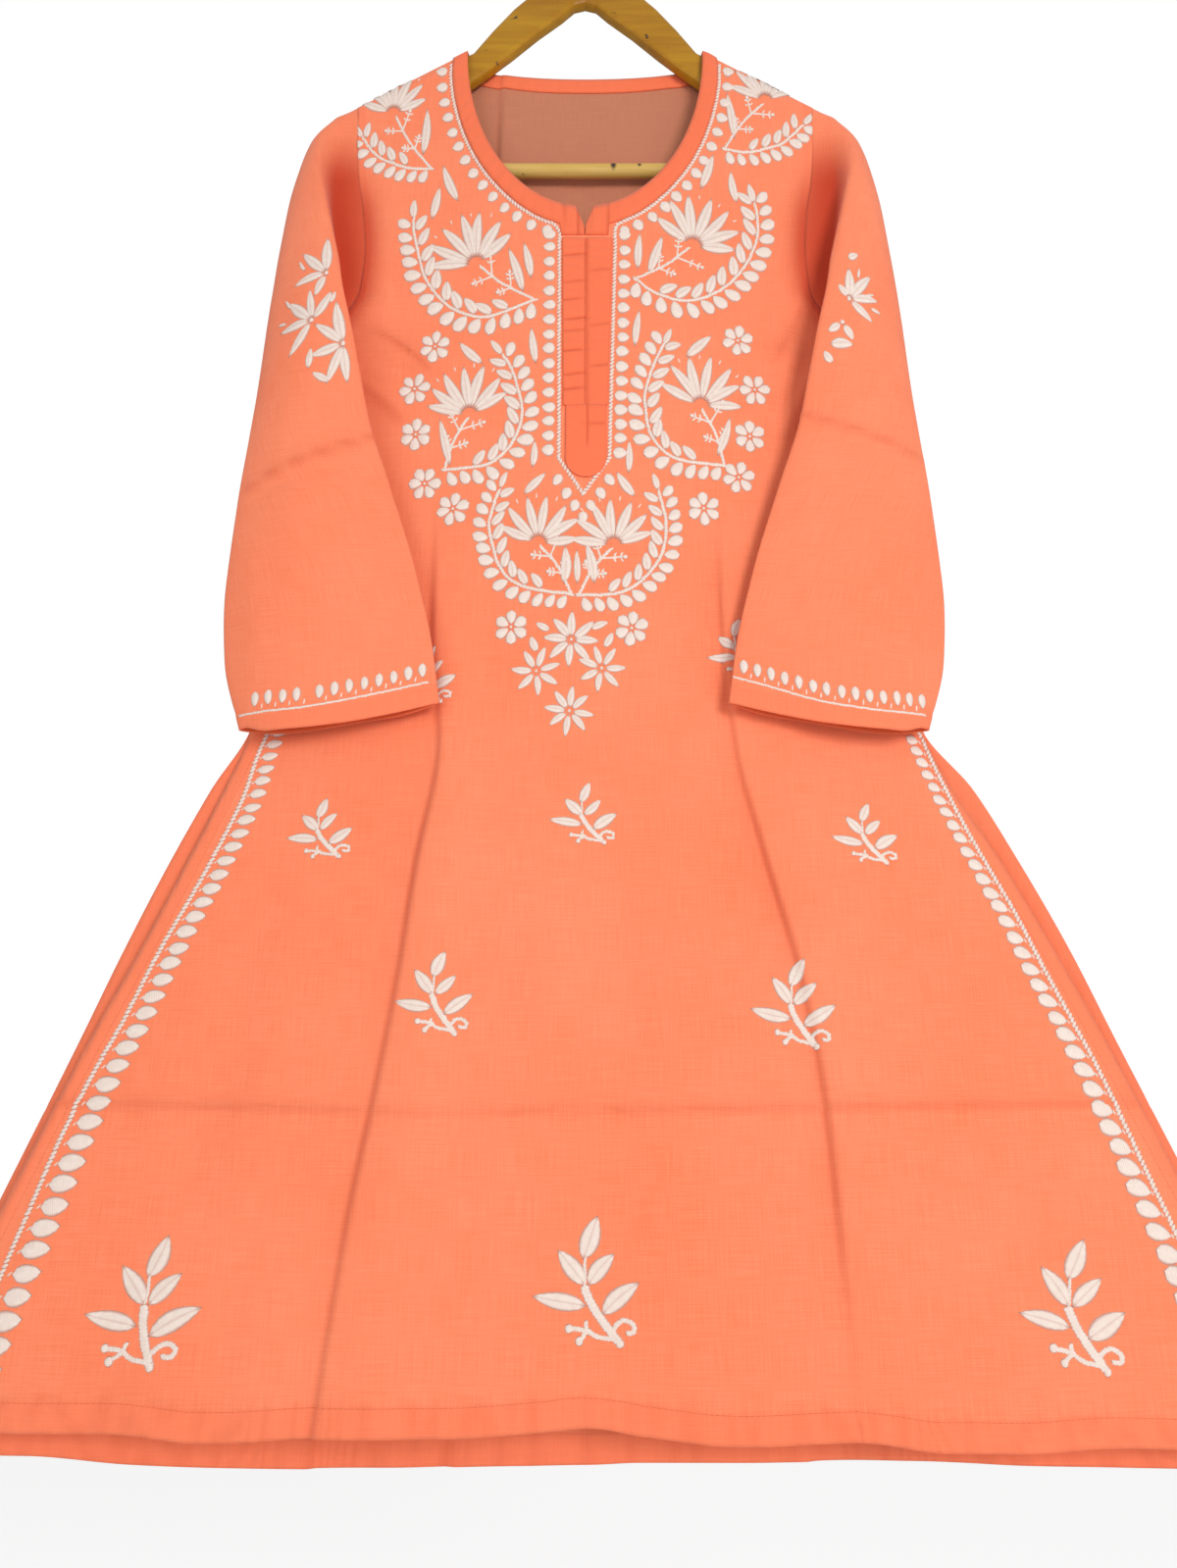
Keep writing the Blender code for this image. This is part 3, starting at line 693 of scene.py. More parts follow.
def grid_normals(points: Array, outwards: Row) -> Array:
    """Unit normals of a grid of points.

    Args:
        points: The grid.
        outwards: The way that they look, on the whole.

    Returns:
        The normals.
    """
    along = np.gradient(points, axis=0)
    across = np.gradient(points, axis=1)
    normals = np.cross(along, across)
    normals /= np.linalg.norm(normals, axis=2, keepdims=True) + 1e-12
    if (normals @ np.array(outwards)).mean() < 0:
        normals = -normals
    return normals


def turning(inside: Array, width: float | Array) -> tuple[Array, Array]:
    """A turned edge of cloth and the groove of its seam.

    Args:
        inside: How far each place lies in from the edge.
        width: The turning's width.

    Returns:
        Two shares from 0 to 1: how far the cloth is doubled, and how deep it is in the groove.
    """
    past = inside - width
    return 1 - smoothstep(past / TURN_SOFT), np.exp(-((past / GROOVE_HALF) ** 2))


def deepen_painted_shade(painted_shade: Array, marks: Iterable[Crease | Ledge], x: Array, z: Array,
            share: float | Array = 1.0) -> Array:
    """Raise a sheet's painted shade where the creases' painted shade is stronger.

    Args:
        painted_shade: The painted shade so far, 0 to 1.
        marks: The creases.
        x: Places across.
        z: Places up.
        share: How much of the creases' painted shade shows.

    Returns:
        The painted shade.
    """
    for mark in marks:
        painted_shade = np.maximum(painted_shade, share * mark.shade(x, z))
    return painted_shade


def declare(piece: Piece, node: str | None) -> None:
    """Ride a piece on the garment, hide the solid that it replaces, and log its size.

    Args:
        piece: The new piece.
        node: The solid that it replaces, if it replaces one.
    """
    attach(piece, "root")
    if node:
        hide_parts(node)
    log.info("%s: %d vertices", piece.name, len(piece.data.vertices))


# ---------------- panels
@dataclass
class Panel:
    """One of the two big panels, from the shoulders to the hem.

    Counts of steps set how fine it is.  Lengths are in metres; the neck band's pleats
    are places across in cm, and hem_rows are the last rows' heights above the hem in mm.
    Below spread_from and over spread_run, in cm, the columns come to lie evenly, closer
    together at fold_columns; crease_rows are the same for the rows.
    """

    cut: KurtaCut
    side: Side
    band: float = 15 * MM
    band_front: float = 20 * MM
    tab: float = 2.05 * CM
    tab_foot: float = -38.25 * CM
    ease: float = 1.0
    ease_run: float = 20 * CM
    spread_from: float = -52.0
    spread_run: float = 24.0
    puff: float = 0.35 * MM
    pleat_half: float = 1.1 * MM
    pleat_depth: float = 0.7 * MM
    gather_run: float = 9 * MM
    gather_painted_shade: float = 0.13
    roll_steps: int = 2
    armhole_steps: int = 8
    chest_steps: int = 9
    notch_steps: int = 4
    band_rows: int = 5
    yoke_rows: int = 46
    body_rows: int = 150
    fold_columns: Rows = ((0.29, 0.035, 3.0), (0.706, 0.028, 3.4))
    crease_rows: Rows = ((0.776, 0.014, 2.5),)
    pleats: Row = (-1.75, -0.55, 1.9)
    hem_rows: Row = (25.0, 20.5, 17.0, 15.0, 13.0, 9.5, 6.0, 2.5, 0.0)

    def rays(self) -> tuple[Array, Array]:
        """Neck points and outer points of the yoke's rays, left to right.

        Returns:
            Two arrays of (x, z), one pair for each ray.
        """
        cut, side = self.cut, self.side
        tip = float(cut.shoulder_height(cut.shoulder_tip))
        turns = np.linspace(0.0, math.pi / 2, cut.roll_turns * self.roll_steps + 1)
        drops = cut.roll * (1 - np.cos(turns)) * math.hypot(1, cut.shoulder_slope)
        angles = [cut.neck_angle_below(side, drop) for drop in drops]
        outer = [(-cut.shoulder_tip, tip - drop) for drop in drops]
        self.roll_columns = len(angles)
        heights = between((outer[-1][1] / CM, *cut.armhole_heights, cut.underarm / CM),
                          self.armhole_steps)
        outer += [(-float(ARMHOLE.at(height, "across")) * CM, height * CM) for height in heights]
        corner = math.radians(cut.neck_corner)
        angles += [*between((angles[-1], corner), len(heights))]
        self.edge_column = len(angles) - 1
        chest = float(ARMHOLE.at(cut.underarm / CM, "across"))
        across = between((chest, *cut.chest_split), self.chest_steps)
        outer += [(-x * CM, cut.underarm) for x in across]
        last = math.acos(cut.chest_split[-1] * CM / cut.neck_half)
        angles += [*between((corner, last), len(across))]
        neck = [cut.neck_point(side, angle) for angle in angles]
        near = cut.neck_point(side, math.acos(cut.notch_half / cut.neck_half))
        notch = cut.notch_depth if side is Side.FRONT else 0.0
        centre = (0.0, cut.neck_point(side, math.pi / 2)[1] - notch)
        neck += [*between((neck[-1], near, centre), self.notch_steps)]
        middle = (-cut.notch_half, cut.underarm), (0.0, cut.underarm)
        outer += [*between((outer[-1], *middle), self.notch_steps)]
        halves = np.array(neck), np.array(outer)
        return tuple(np.vstack([half, half[-2::-1] * (-1.0, 1.0)]) for half in halves)

    def yoke(self) -> Weave:
        """The upper part, from the neck edge outwards.

        Returns:
            A grid with a row for each distance from the neck edge.
        """
        cut = self.cut
        neck, outer = self.rays()
        run = np.linalg.norm(outer - neck, axis=1)
        band = self._band(neck, outer, run)
        reaches = [band * k / self.band_rows for k in range(self.band_rows + 1)]
        reaches += [band + (run - band) * k / self.yoke_rows for k in range(1, self.yoke_rows + 1)]
        s = np.array(reaches) / run
        z = neck[:, 1] + (outer[:, 1] - neck[:, 1]) * self._eased(s, outer)
        near = neck[:, 0] / cut.half_width(neck[:, 1])
        far = outer[:, 0] / cut.half_width(outer[:, 1])
        x = cut.half_width(z) * (near + (far - near) * s)
        return self._weave(x, z)

    def _eased(self, share: Array, outer: Array) -> Array:
        """How far down its run a ray is, at a share of it."""
        above = np.minimum((outer[:, 1] - self.cut.underarm) / self.ease_run, 1.0)
        return share + self.ease * (1 - above) * share * share * (1 - share)

    def _band(self, neck: Array, outer: Array, run: Array) -> Array:
        """The width of the neck's band along each ray, with the tab round the V.

        Args:
            neck: The rays' neck points.
            outer: The rays' outer points.
            run: How long the rays are.

        Returns:
            The widths.
        """
        cut = self.cut
        if self.side is Side.BACK:
            return np.full(len(run), self.band)
        drop = (cut.neck_top - neck[:, 1]) / cut.neck_drop_front
        band = self.band + (self.band_front - self.band) * drop
        wanted = (neck[:, 1] - self.tab_foot) / (neck[:, 1] - outer[:, 1])
        low, high = np.zeros(len(run)), np.ones(len(run))
        for _ in range(40):
            middle = (low + high) / 2
            short = self._eased(middle, outer) < wanted
            low, high = np.where(short, middle, low), np.where(short, high, middle)
        return np.where(np.abs(neck[:, 0]) > self.tab, band, low * run)

    def body(self, chest: Array) -> Weave:
        """The lower part, from the chest line down to the hem.

        Args:
            chest: The yoke's points along the chest line.

        Returns:
            The lower part's grid.
        """
        cut, side = self.cut, self.side
        left, right = cut.edges(side, np.array(cut.underarm))
        shares = (chest[:, 0] - left) / (right - left)
        foot = np.full(len(shares), HEMS.values.min() * CM)
        for _ in range(4):
            foot = HEMS.at(self._across(shares, foot) / CM, side.value) * CM
        steps = crowded(self.body_rows, self.crease_rows)[:, None]
        hem_rows = np.array(self.hem_rows)[:, None] * MM
        body = cut.underarm + (foot + hem_rows[0] - cut.underarm) * steps
        z = np.vstack([body, foot + hem_rows[1:]])
        weave = self._weave(self._across(shares, z), z)
        weave.points[0] = chest
        return weave

    def _across(self, shares: Array, z: Array) -> Array:
        """Where the columns lie across at each height, growing even towards the hem.

        Args:
            shares: Their shares of the panel's width at the chest.
            z: The heights.

        Returns:
            The places across.
        """
        even = crowded(len(shares), self.fold_columns)
        spread = smoothstep((self.spread_from - z / CM) / self.spread_run)
        share = shares + (even - shares) * spread
        left, right = self.cut.edges(self.side, z)
        return left + (right - left) * share

    def _weave(self, x: Array, z: Array) -> Weave:
        """The grid on the panel's surface, with its turned edges and painted shade.

        Args:
            x: Places across.
            z: Places up.

        Returns:
            The grid.
        """
        cut, side = self.cut, self.side
        points = cut.place(side, x, z)
        left, right = cut.edges(side, z)
        edge = np.minimum(x - left, right - x)
        hem = z - HEMS.at(x / CM, side.value) * CM
        hem_turned, groove = turning(hem, cut.turn_up)
        allowance = np.where(z > cut.underarm, 0.7, 1.0) * cut.seam_allowance
        edge_turned, slit = turning(edge, allowance)
        slit = slit * smoothstep((cut.slit_top - z) / (3 * CM))
        turned = np.maximum(edge_turned, hem_turned)
        rise = turned * TURN_RISE - GROOVE_DEPTH * np.maximum(groove, slit)
        rise = rise * (z < cut.underarm + 5 * CM)
        points = points + grid_normals(points, side.outwards) * rise[..., None]
        # The front's painted shade beside the armhole, under the sleeve's fold.
        painted_shade = self._armhole_shade(edge, z) * (side is Side.FRONT)
        # Painted shade of small, uneven gathers that the hem's thread pulls; the gathers have no
        # form of their own.
        pulled = np.sin(x / CM * 4.3 + 2.4 * np.sin(x / CM * 1.3)) ** 4
        near_hem = 1 - smoothstep((hem - cut.turn_up) / self.gather_run)
        painted_shade = np.maximum(painted_shade, self.gather_painted_shade * pulled * near_hem)
        # Painted shade along the long folds' feet and the creases' dark lines.
        painted_shade = deepen_painted_shade(painted_shade, LEDGES[side], x, z, 1.0 if side is Side.FRONT else 0.6)
        painted_shade = deepen_painted_shade(painted_shade, CREASES[side], x, z)
        return Weave(points, np.stack([x, z], axis=-1), turned, painted_shade)

    @staticmethod
    def _armhole_shade(edge: Array, z: Array) -> Array:
        """Painted shade beside the armhole, under the sleeve's fold, 0 to 1."""
        shade = 0.85 * np.exp(-((edge / (1.3 * CM)) ** 2))
        shade = shade * smoothstep((-28 * CM - z) / (8 * CM))
        return shade * smoothstep((z + 56 * CM) / (8 * CM))

    def build(self, finishes: Sequence[Material]) -> Piece:
        """Make the panel.

        Args:
            finishes: The cloth's outer and inner face.

        Returns:
            The panel as one sheet.
        """
        self.top = self.yoke()
        edge = self.edge_column
        columns = self.top.points.shape[1]
        chest = self.top.points[-1, edge:columns - edge]
        return cloth_object(f"{self.side.value}_cloth", (self.top, self.body(chest)),
                            self.cut.wall, finishes, self.side.outwards)

    def strip(self, first: int, last: int, lift: float, name: str,
              finish: Material, wall: float, nudge: float) -> Piece:
        """Make a band along the neck edge, from the panel's own first rows.

        Args:
            first: Its first column.
            last: Its last column.
            lift: How far it lies off the panel's middle surface, towards the front.
            name: The piece's name.
            finish: Its cloth.
            wall: Its thickness.
            nudge: How far its end at the centre stands off the centre line.

        Returns:
            The band.
        """
        band = self.top.points[:self.band_rows + 1]
        normals = grid_normals(band, Side.FRONT.outwards)[:, first:last + 1]
        points = band[:, first:last + 1] + normals * lift
        if nudge:
            points[:, -1 if nudge < 0 else 0, 0] += nudge
        across = np.linspace(0.0, 1.0, self.band_rows + 1)[:, None]
        around = run_along(points[0])[None, :]
        pleats = sum(np.exp(-(((points[..., 0] - pleat * CM) / self.pleat_half) ** 2))
                     for pleat in self.pleats) * (self.side is Side.FRONT)
        puff = np.sin(math.pi * across) ** 0.7 * self.puff
        wobble = 0.3 * MM * np.sin(around * 430 + 1.3 * np.sin(around * 61))
        raised = puff + wobble * np.sin(math.pi * across) - self.pleat_depth * pleats
        points = points + normals * raised[..., None]
        flat = np.stack(np.broadcast_arrays(around, across * self.band), axis=-1)
        # The pleats' dips also get painted shade.
        weave = Weave(points, flat, np.ones(flat.shape[:2]), 0.45 * pleats)
        return cloth_object(name, (weave,), wall, (finish,), Side.FRONT.outwards)


@dataclass
class NeckAndPlacket:
    """The neck bands, the back facing and the placket, all of double cloth.

    left and right are the strips' outer edges at their top and foot.  Lengths are in
    metres; puckers are rows of (height, across) in cm and depth in mm.
    """

    cut: KurtaCut
    band_wall: float = 1.1 * MM
    clear: float = 0.1 * MM
    left: Place = (-1.8 * CM, -1.62 * CM)
    right: Place = (2.2 * CM, 1.72 * CM)
    top: float = -38.65 * CM
    foot: float = -55.1 * CM
    tongue_left: float = -1.42 * CM
    tongue_right: float = 1.62 * CM
    tongue_foot: float = -61.5 * CM
    rows: int = 130
    columns: int = 14
    slit: float = 0.2 * CM
    slit_foot: float = -59.4 * CM
    slit_half: float = 0.8 * MM
    slit_depth: float = 0.8 * MM
    puff: float = 0.35 * MM
    tip_rows: int = 40
    tip_columns: int = 29
    tip_turn: float = 84.0
    meet: float = 0.05 * MM
    gap: float = 0.35 * MM
    puckers: Rows = (
        (-40.4, -0.9, 1.4), (-43.2, -0.8, 1.0), (-45.0, -1.2, 1.3), (-46.9, -0.7, 1.6),
        (-48.1, -1.0, 1.2), (-50.0, -1.1, 1.5), (-52.2, -0.8, 1.3), (-53.6, -1.0, 1.5),
        (-42.0, 1.3, 1.0), (-47.5, 1.2, 0.9), (-51.4, 1.4, 1.1), (-56.8, 0.8, 0.9),
    )

    @property
    def lift(self) -> float:
        """How far the bands' middle lies off the panel's middle surface."""
        return self.cut.wall / 2 + self.clear + self.band_wall / 2

    def build(self, front: Panel, back: Panel, finish: Material) -> dict[str, Piece]:
        """Make every band and the placket.

        Args:
            front: The front panel, whose first rows the neck band repeats.
            back: The back panel.
            finish: The doubled cloth.

        Returns:
            The pieces by the solid that each replaces.
        """
        last = front.top.points.shape[1] - 1
        bands = {
            "neck_band_left": (front, 0, last // 2, -self.gap),
            "neck_band_right": (front, last // 2, last, self.gap),
            "back_neck_facing": (back, back.roll_columns, last - back.roll_columns, 0.0),
        }
        made = {
            node: panel.strip(start, end, self.lift, f"{node}_cloth", finish, self.band_wall, nudge)
            for node, (panel, start, end, nudge) in bands.items()
        }
        strips = {
            "placket_left": (self.left, (-self.meet, -self.meet)),
            "placket_right": ((self.meet, self.meet), self.right),
        }
        for node, (left, right) in strips.items():
            made[node] = self._strip(f"{node}_cloth", left, right, finish)
        made["placket_tongue"] = self._tongue("placket_tongue_cloth", finish)
        return made

    def _laid(self, name: str, x: Array, z: Array, finish: Material) -> Piece:
        """Lay a patch of double cloth on the front panel, with small cross puckers and painted shade
        in them and along the slit.

        Args:
            name: The piece's name.
            x: Its grid's places across.
            z: Its grid's places up.
            finish: The doubled cloth.

        Returns:
            The piece.
        """
        points = self.cut.place(Side.FRONT, x, z)
        normals = grid_normals(points, Side.FRONT.outwards)
        share = (x - x.min()) / (x.max() - x.min())
        puff = np.sin(math.pi * np.clip(share, 0, 1)) ** 0.5 * self.puff
        pucker = 0.4 * MM * np.sin(z * 520 + 2.0 * np.sin(z * 77) + 3 * share)
        pucker = pucker * (0.35 + 0.65 * np.abs(np.sin(z * 37 + 1.0)))
        # Painted shade goes in the puckers and along the slit.
        painted_shade = np.zeros(x.shape)
        for height, across, deep in self.puckers:
            lies = (x - across * CM) / (1.0 * CM)
            line = (z - height * CM - 0.8 * MM * np.sin(lies * 2)) / (1.3 * MM)
            dip = np.exp(-line * line - lies**4)
            pucker -= deep * MM * dip
            painted_shade = np.maximum(painted_shade, 0.38 * deep * dip)
        centre = np.exp(-(((x - self.slit) / self.slit_half) ** 2))
        centre = centre * smoothstep((z - self.slit_foot) / (1.5 * CM))
        raised = self.lift + puff + pucker * 0.6 - self.slit_depth * centre
        points = points + normals * raised[..., None]
        flat = np.stack([z, x], axis=-1)
        weave = Weave(points, flat, np.ones(x.shape), np.maximum(painted_shade, 0.6 * centre))
        return cloth_object(name, (weave,), self.band_wall, (finish,), Side.FRONT.outwards)

    def _strip(self, name: str, left: Row, right: Row, finish: Material) -> Piece:
        """Make one of the placket's two long strips.

        Args:
            name: The piece's name.
            left: Its left edge at its top and foot.
            right: Its right edge at its top and foot.
            finish: The doubled cloth.

        Returns:
            The strip.
        """
        r = np.linspace(0.0, 1.0, self.rows)[:, None]
        c = np.linspace(0.0, 1.0, self.columns)[None, :]
        left = left[0] + (left[1] - left[0]) * r
        right = right[0] + (right[1] - right[0]) * r
        z = self.top + (self.foot - self.top) * r
        return self._laid(name, left + (right - left) * c, z + c * 0, finish)

    def _tongue(self, name: str, finish: Material) -> Piece:
        """Make the placket's end, which narrows to a round tip.

        Args:
            name: The piece's name.
            finish: The doubled cloth.

        Returns:
            The tongue.
        """
        middle = (self.tongue_left + self.tongue_right) / 2
        half = (self.tongue_right - self.tongue_left) / 2
        top = self.foot + 0.4 * MM
        straight = self.tongue_foot + half * 1.1
        r = np.linspace(0.0, 1.0, self.tip_rows)[:, None]
        c = np.linspace(-1.0, 1.0, self.tip_columns)[None, :]
        turn = np.clip((r - 0.5) / 0.5, 0.0, 1.0) * math.radians(self.tip_turn)
        z = np.where(r < 0.5, top + (straight - top) * r / 0.5,
                     straight + (self.tongue_foot - straight) * np.sin(turn))
        x = middle + half * np.cos(turn) * c
        return self._laid(name, x, z + c * 0, finish)


# ---------------- sleeves
# A row for each section from the cap to the cuff: heights at the armhole seam and
# at the outer edge in cm, then points across (cm) and out (mm, - is front).
SLEEVE_SECTIONS = Table(
    "order seam_z outer_z seam_x seam_y valley_x valley_y fold_x fold_y"
    " front_x front_y outer_x outer_y back_x back_y", (
    (1, -25.2, -24, 0, 0, 20.1, -9.1, 20.9, -8.6, 21.4, -6, 21.6, 0, 20.7, 6.8),
    (2, -28.2, -27, 0, 0, 20.5, -10.4, 22.2, -14.5, 22.9, -11, 23.4, -3, 22.1, 6.5),
    (3, -31.6, -30.7, 0, 0, 20.8, -11.5, 22, -23, 23.2, -18.5, 24, -6, 22.6, 6.5),
    (4, -35.2, -34.5, 0, 0, 20.6, -13, 21.2, -29.5, 23, -24, 24.4, -8.5, 22.9, 6),
    (5, -39, -38.6, 0, 0, 20.1, -14, 20.2, -34.5, 22.6, -29.5, 24.6, -10.5, 23, 5.5),
    (6, -42.4, -42.2, 0, 0, 19.8, -14.5, 19.3, -37.5, 22.3, -32.5, 24.75, -12, 23.2, 4.5),
    (7, -45.2, -45.1, 0, 0, 20.5, -15, 18.7, -39, 22, -35, 24.85, -13, 23.4, 3.5),
    (8, -47.5, -47.5, 0, 0, 21.4, -15.5, 18.1, -39.5, 21.8, -36, 24.9, -13.5, 23.8, 1.5),
    (9, -49.5, -49.6, 22.62, -0.5, 21.8, -15.5, 17.6, -39.5, 22, -36.5, 24.9, -14.5, 24.1, -2),
    (10, -53.2, -53.3, 23.1, -7, 20.4, -19.5, 16.8, -37.5, 21.9, -36, 24.95, -15.5, 24.2, -6.5),
    (11, -57.5, -57.5, 22.4, -10, 19, -20.5, 15.9, -35, 21.7, -34.5, 25.1, -16.5, 24.1, -9),
    (12, -63, -63, 21.6, -13, 17.2, -22, 14.1, -32.5, 21.4, -33, 25.35, -17, 23.9, -10.5),
    (13, -70, -70, 20.2, -15, 15.4, -24.5, 11.9, -32.5, 20.8, -33.5, 25.45, -17.5, 23.4, -11),
    (14, -76, -76, 19, -16.5, 14, -26, 10.55, -32.5, 20, -34.5, 24.9, -18, 22.6, -11.5),
    (15, -81.4, -81.4, 17.6, -19, 12.9, -27, 9.8, -33, 19, -35, 23.3, -18.5, 21.4, -12.5),
))

# How far the cuff's edge hangs below its last section: place across in cm, drop in mm.
CUFF_SAG = Table("across drop", (
    (9.5, -14), (13, -4), (16.5, 3), (19.5, 5.5), (23.5, 5),
))
SLEEVE_CREASES = {
    Hand.LEFT: creases(
        (-26.8, -63.5, -12.2, -57.9, 0.4, 2.3, 0.2, 0.7, 0.34),
        (-26, -64.4, -14.4, -59.4, 0.6, -1.5, 0.2),
        (-22, -37, -18.6, -44, 0.8, -0.9, 0.4),
        (-23.6, -44, -22.6, -58, 1.4, -1.2, 0.4),
        (-20, -56, -19, -76, 1.6, 1.3, -0.5),
        (-16, -62, -13.6, -80, 1.3, -1.2, 0.4),
        (-24.4, -66, -22, -80, 1.1, 1.1, 0.3),
        (-23.6, -30, -24.4, -44, 0.9, 1, 0.3),
        (-17.6, -66, -14, -70.5, 0.6, 0.9, 0.2),
    ),
    Hand.RIGHT: creases(
        (13.2, -56.2, 26.6, -60.2, 0.4, 2.2, -0.2, 0.7, 0.3),
        (23.6, -60, 15.6, -55.4, 0.5, -2, -0.2, 0.2),
        (19, -60.5, 16, -54.6, 0.35, 1.4, 0.2, 0.4),
        (21.6, -36, 19, -44, 0.8, -0.9, -0.4),
        (23.4, -48, 22.8, -62, 1.4, -1.2, -0.4), (19.6, -58, 18, -78, 1.6, 1.3, 0.5),
        (15.4, -64, 12.8, -79, 1.3, -1.2, -0.4), (24.2, -68, 22.6, -80, 1.1, 1.1, -0.3),
        (23.2, -30, 24.2, -46, 0.9, 1, -0.3),
    ),
}


@dataclass
class Sleeve:
    """A three-quarter sleeve that hangs folded forwards over the panel.

    Orders are places among SLEEVE_SECTIONS; parts are the steps from each named point
    of a section to the next.  Lengths are in metres.  The valley beside the fold gets
    painted shade, from shade_top's height and over its run down to shade_foot.
    """

    cut: KurtaCut
    hand: Hand
    parts: tuple[int, ...] = (10, 14, 14, 18, 16, 12)
    cap_rows: int = 22
    cap_order: float = 2.0
    rows: int = 104
    last_order: float = 14.6
    cuff_orders: Row = (14.68, 14.76, 14.84, 14.9, 14.95, 15.0)
    loops_from: float = 9.0
    armhole_turn: float = -41.0 * CM
    underarm_gap: float = 0.3 * MM
    cuff_turn_up: float = 13 * MM
    cuff_from: float = 13.0
    cuff_back: float = 5 * MM
    valley: float = 0.9
    valley_shade_halves: Place = (1.9, 0.95)
    shade_top: Place = (-25 * CM, 7 * CM)
    shade_foot: Place = (-80 * CM, 24 * CM)

    def _sections(self, orders: Array) -> Array:
        """Read the named points of each section.

        Args:
            orders: Each row's place among the sections.

        Returns:
            The points, across and out: (rows, 7, 2).
        """
        value = {name: SLEEVE_SECTIONS.at(np.maximum(orders, 1.0), name)
                 for name in SLEEVE_SECTIONS.names}
        seam_z = value["seam_z"] * CM
        across = self.cut.half_width(seam_z)
        under = np.clip((self.armhole_turn - seam_z) / (5 * CM), 0.0, 1.0)
        closed = orders >= self.loops_from
        seam_x = np.where(closed, value["seam_x"] * CM, across + under * self.underarm_gap)
        front_y, back_y = (
            np.where(closed, value["seam_y"] * MM, side.out * self.cut.depth(side, across, seam_z))
            for side in Side)
        named = [np.stack([value[f"{name}_x"] * CM, value[f"{name}_y"] * MM], axis=-1)
                 for name in ("valley", "fold", "front", "outer", "back")]
        first, last = (np.stack([seam_x, y], axis=-1) for y in (front_y, back_y))
        return np.stack([first, *named, last], axis=1)

    def _smooth(self, points: Array, closed: Array) -> Array:
        """Draw a smooth curve through each section's named points.

        Args:
            points: The named points: (rows, 7, 2).
            closed: Whether each row's curve comes round to its start.

        Returns:
            The curves' samples: (rows, samples, 2).
        """
        count = points.shape[1]
        loop = closed[:, None]
        samples = []
        for k, steps in enumerate(self.parts):
            before = points[:, max(k - 1, 0)]
            after = points[:, min(k + 2, count - 1)]
            if k == 0:
                before = np.where(loop, points[:, count - 2], before)
            if k + 2 >= count:
                after = np.where(loop, points[:, 1], after)
            start, end = points[:, k], points[:, k + 1]
            span = np.linalg.norm(end - start, axis=1, keepdims=True)
            to_before = np.linalg.norm(start - before, axis=1, keepdims=True)
            to_after = np.linalg.norm(after - end, axis=1, keepdims=True)
            lead = (end - before) / (to_before + span + 1e-9) * span
            trail = (after - start) / (to_after + span + 1e-9) * span
            for i in range(steps):
                s = i / steps
                samples.append(
                    start * (1 + 2 * s) * (1 - s) ** 2 + end * s * s * (3 - 2 * s)
                    + lead * s * (1 - s) ** 2 - trail * s * s * (1 - s)
                )
        samples.append(points[:, -1])
        return np.stack(samples, axis=1)

    def _form(self, orders: Array) -> Array:
        """The sleeve's form before its creases.

        Args:
            orders: Each row's place among the sections; from 1 to 0 it nears the cap.

        Returns:
            A grid of points, each row from the front seam round to the back one.
        """
        cut = self.cut
        sections = self._smooth(self._sections(orders), orders >= self.loops_from)
        turn = np.linspace(0.0, math.pi, sections.shape[1])
        seam_z, outer_z = (
            SLEEVE_SECTIONS.at(np.maximum(orders, 1.0), name)[:, None] * CM
            for name in ("seam_z", "outer_z"))
        down = np.maximum((orders - self.cuff_from) / 2, 0.0)[:, None]
        z = seam_z + (outer_z - seam_z) * np.sin(turn)
        z = z - CUFF_SAG.at(sections[..., 0] / CM, "drop") * MM * down
        z = z + self.cuff_back * smoothstep((sections[..., 1] + 30 * MM) / (9 * MM)) * down**2
        points = np.concatenate([sections, z[..., None]], axis=-1)
        steep = math.hypot(1, cut.shoulder_slope)
        tip = float(cut.shoulder_height(cut.shoulder_tip))
        cap = np.stack([
            np.full(len(turn), cut.shoulder_tip), -cut.roll * np.cos(turn),
            tip - cut.roll * steep * (1 - np.sin(turn))], axis=-1)
        share = np.clip(orders, 0.0, 1.0)[:, None, None]
        return (cap * (1 - share) + points * share) * (self.hand.value, 1.0, 1.0)

    def weave(self) -> Weave:
        """Finish the sleeve's form with its creases, cuff turning and painted shade.

        Returns:
            The sleeve's grid.
        """
        upper = np.linspace(0.0, self.cap_order, self.cap_rows)[:-1]
        lower = np.linspace(self.cap_order, self.last_order, self.rows)
        orders = np.concatenate([upper, lower, self.cuff_orders])
        points = self._form(orders)
        x, _, z = np.moveaxis(points, -1, 0)
        normals = grid_normals(points, Side.FRONT.outwards)
        if (normals * (points - points.mean(axis=1, keepdims=True))).sum() < 0:
            normals = -normals
        marks = SLEEVE_CREASES[self.hand]
        front = smoothstep((-normals[..., 1] - 0.1) / 0.5)
        turned, groove = turning(run_along(points[::-1])[::-1], self.cuff_turn_up)
        rise = sum(mark.height(x, z) for mark in marks) * front
        rise = rise + turned * TURN_RISE - groove * GROOVE_DEPTH
        rise = rise * smoothstep((orders - 0.5) / 1.5)[:, None]
        around = run_along(points.swapaxes(0, 1)).T
        points = points + normals * rise[..., None]
        x, _, z = np.moveaxis(points, -1, 0)
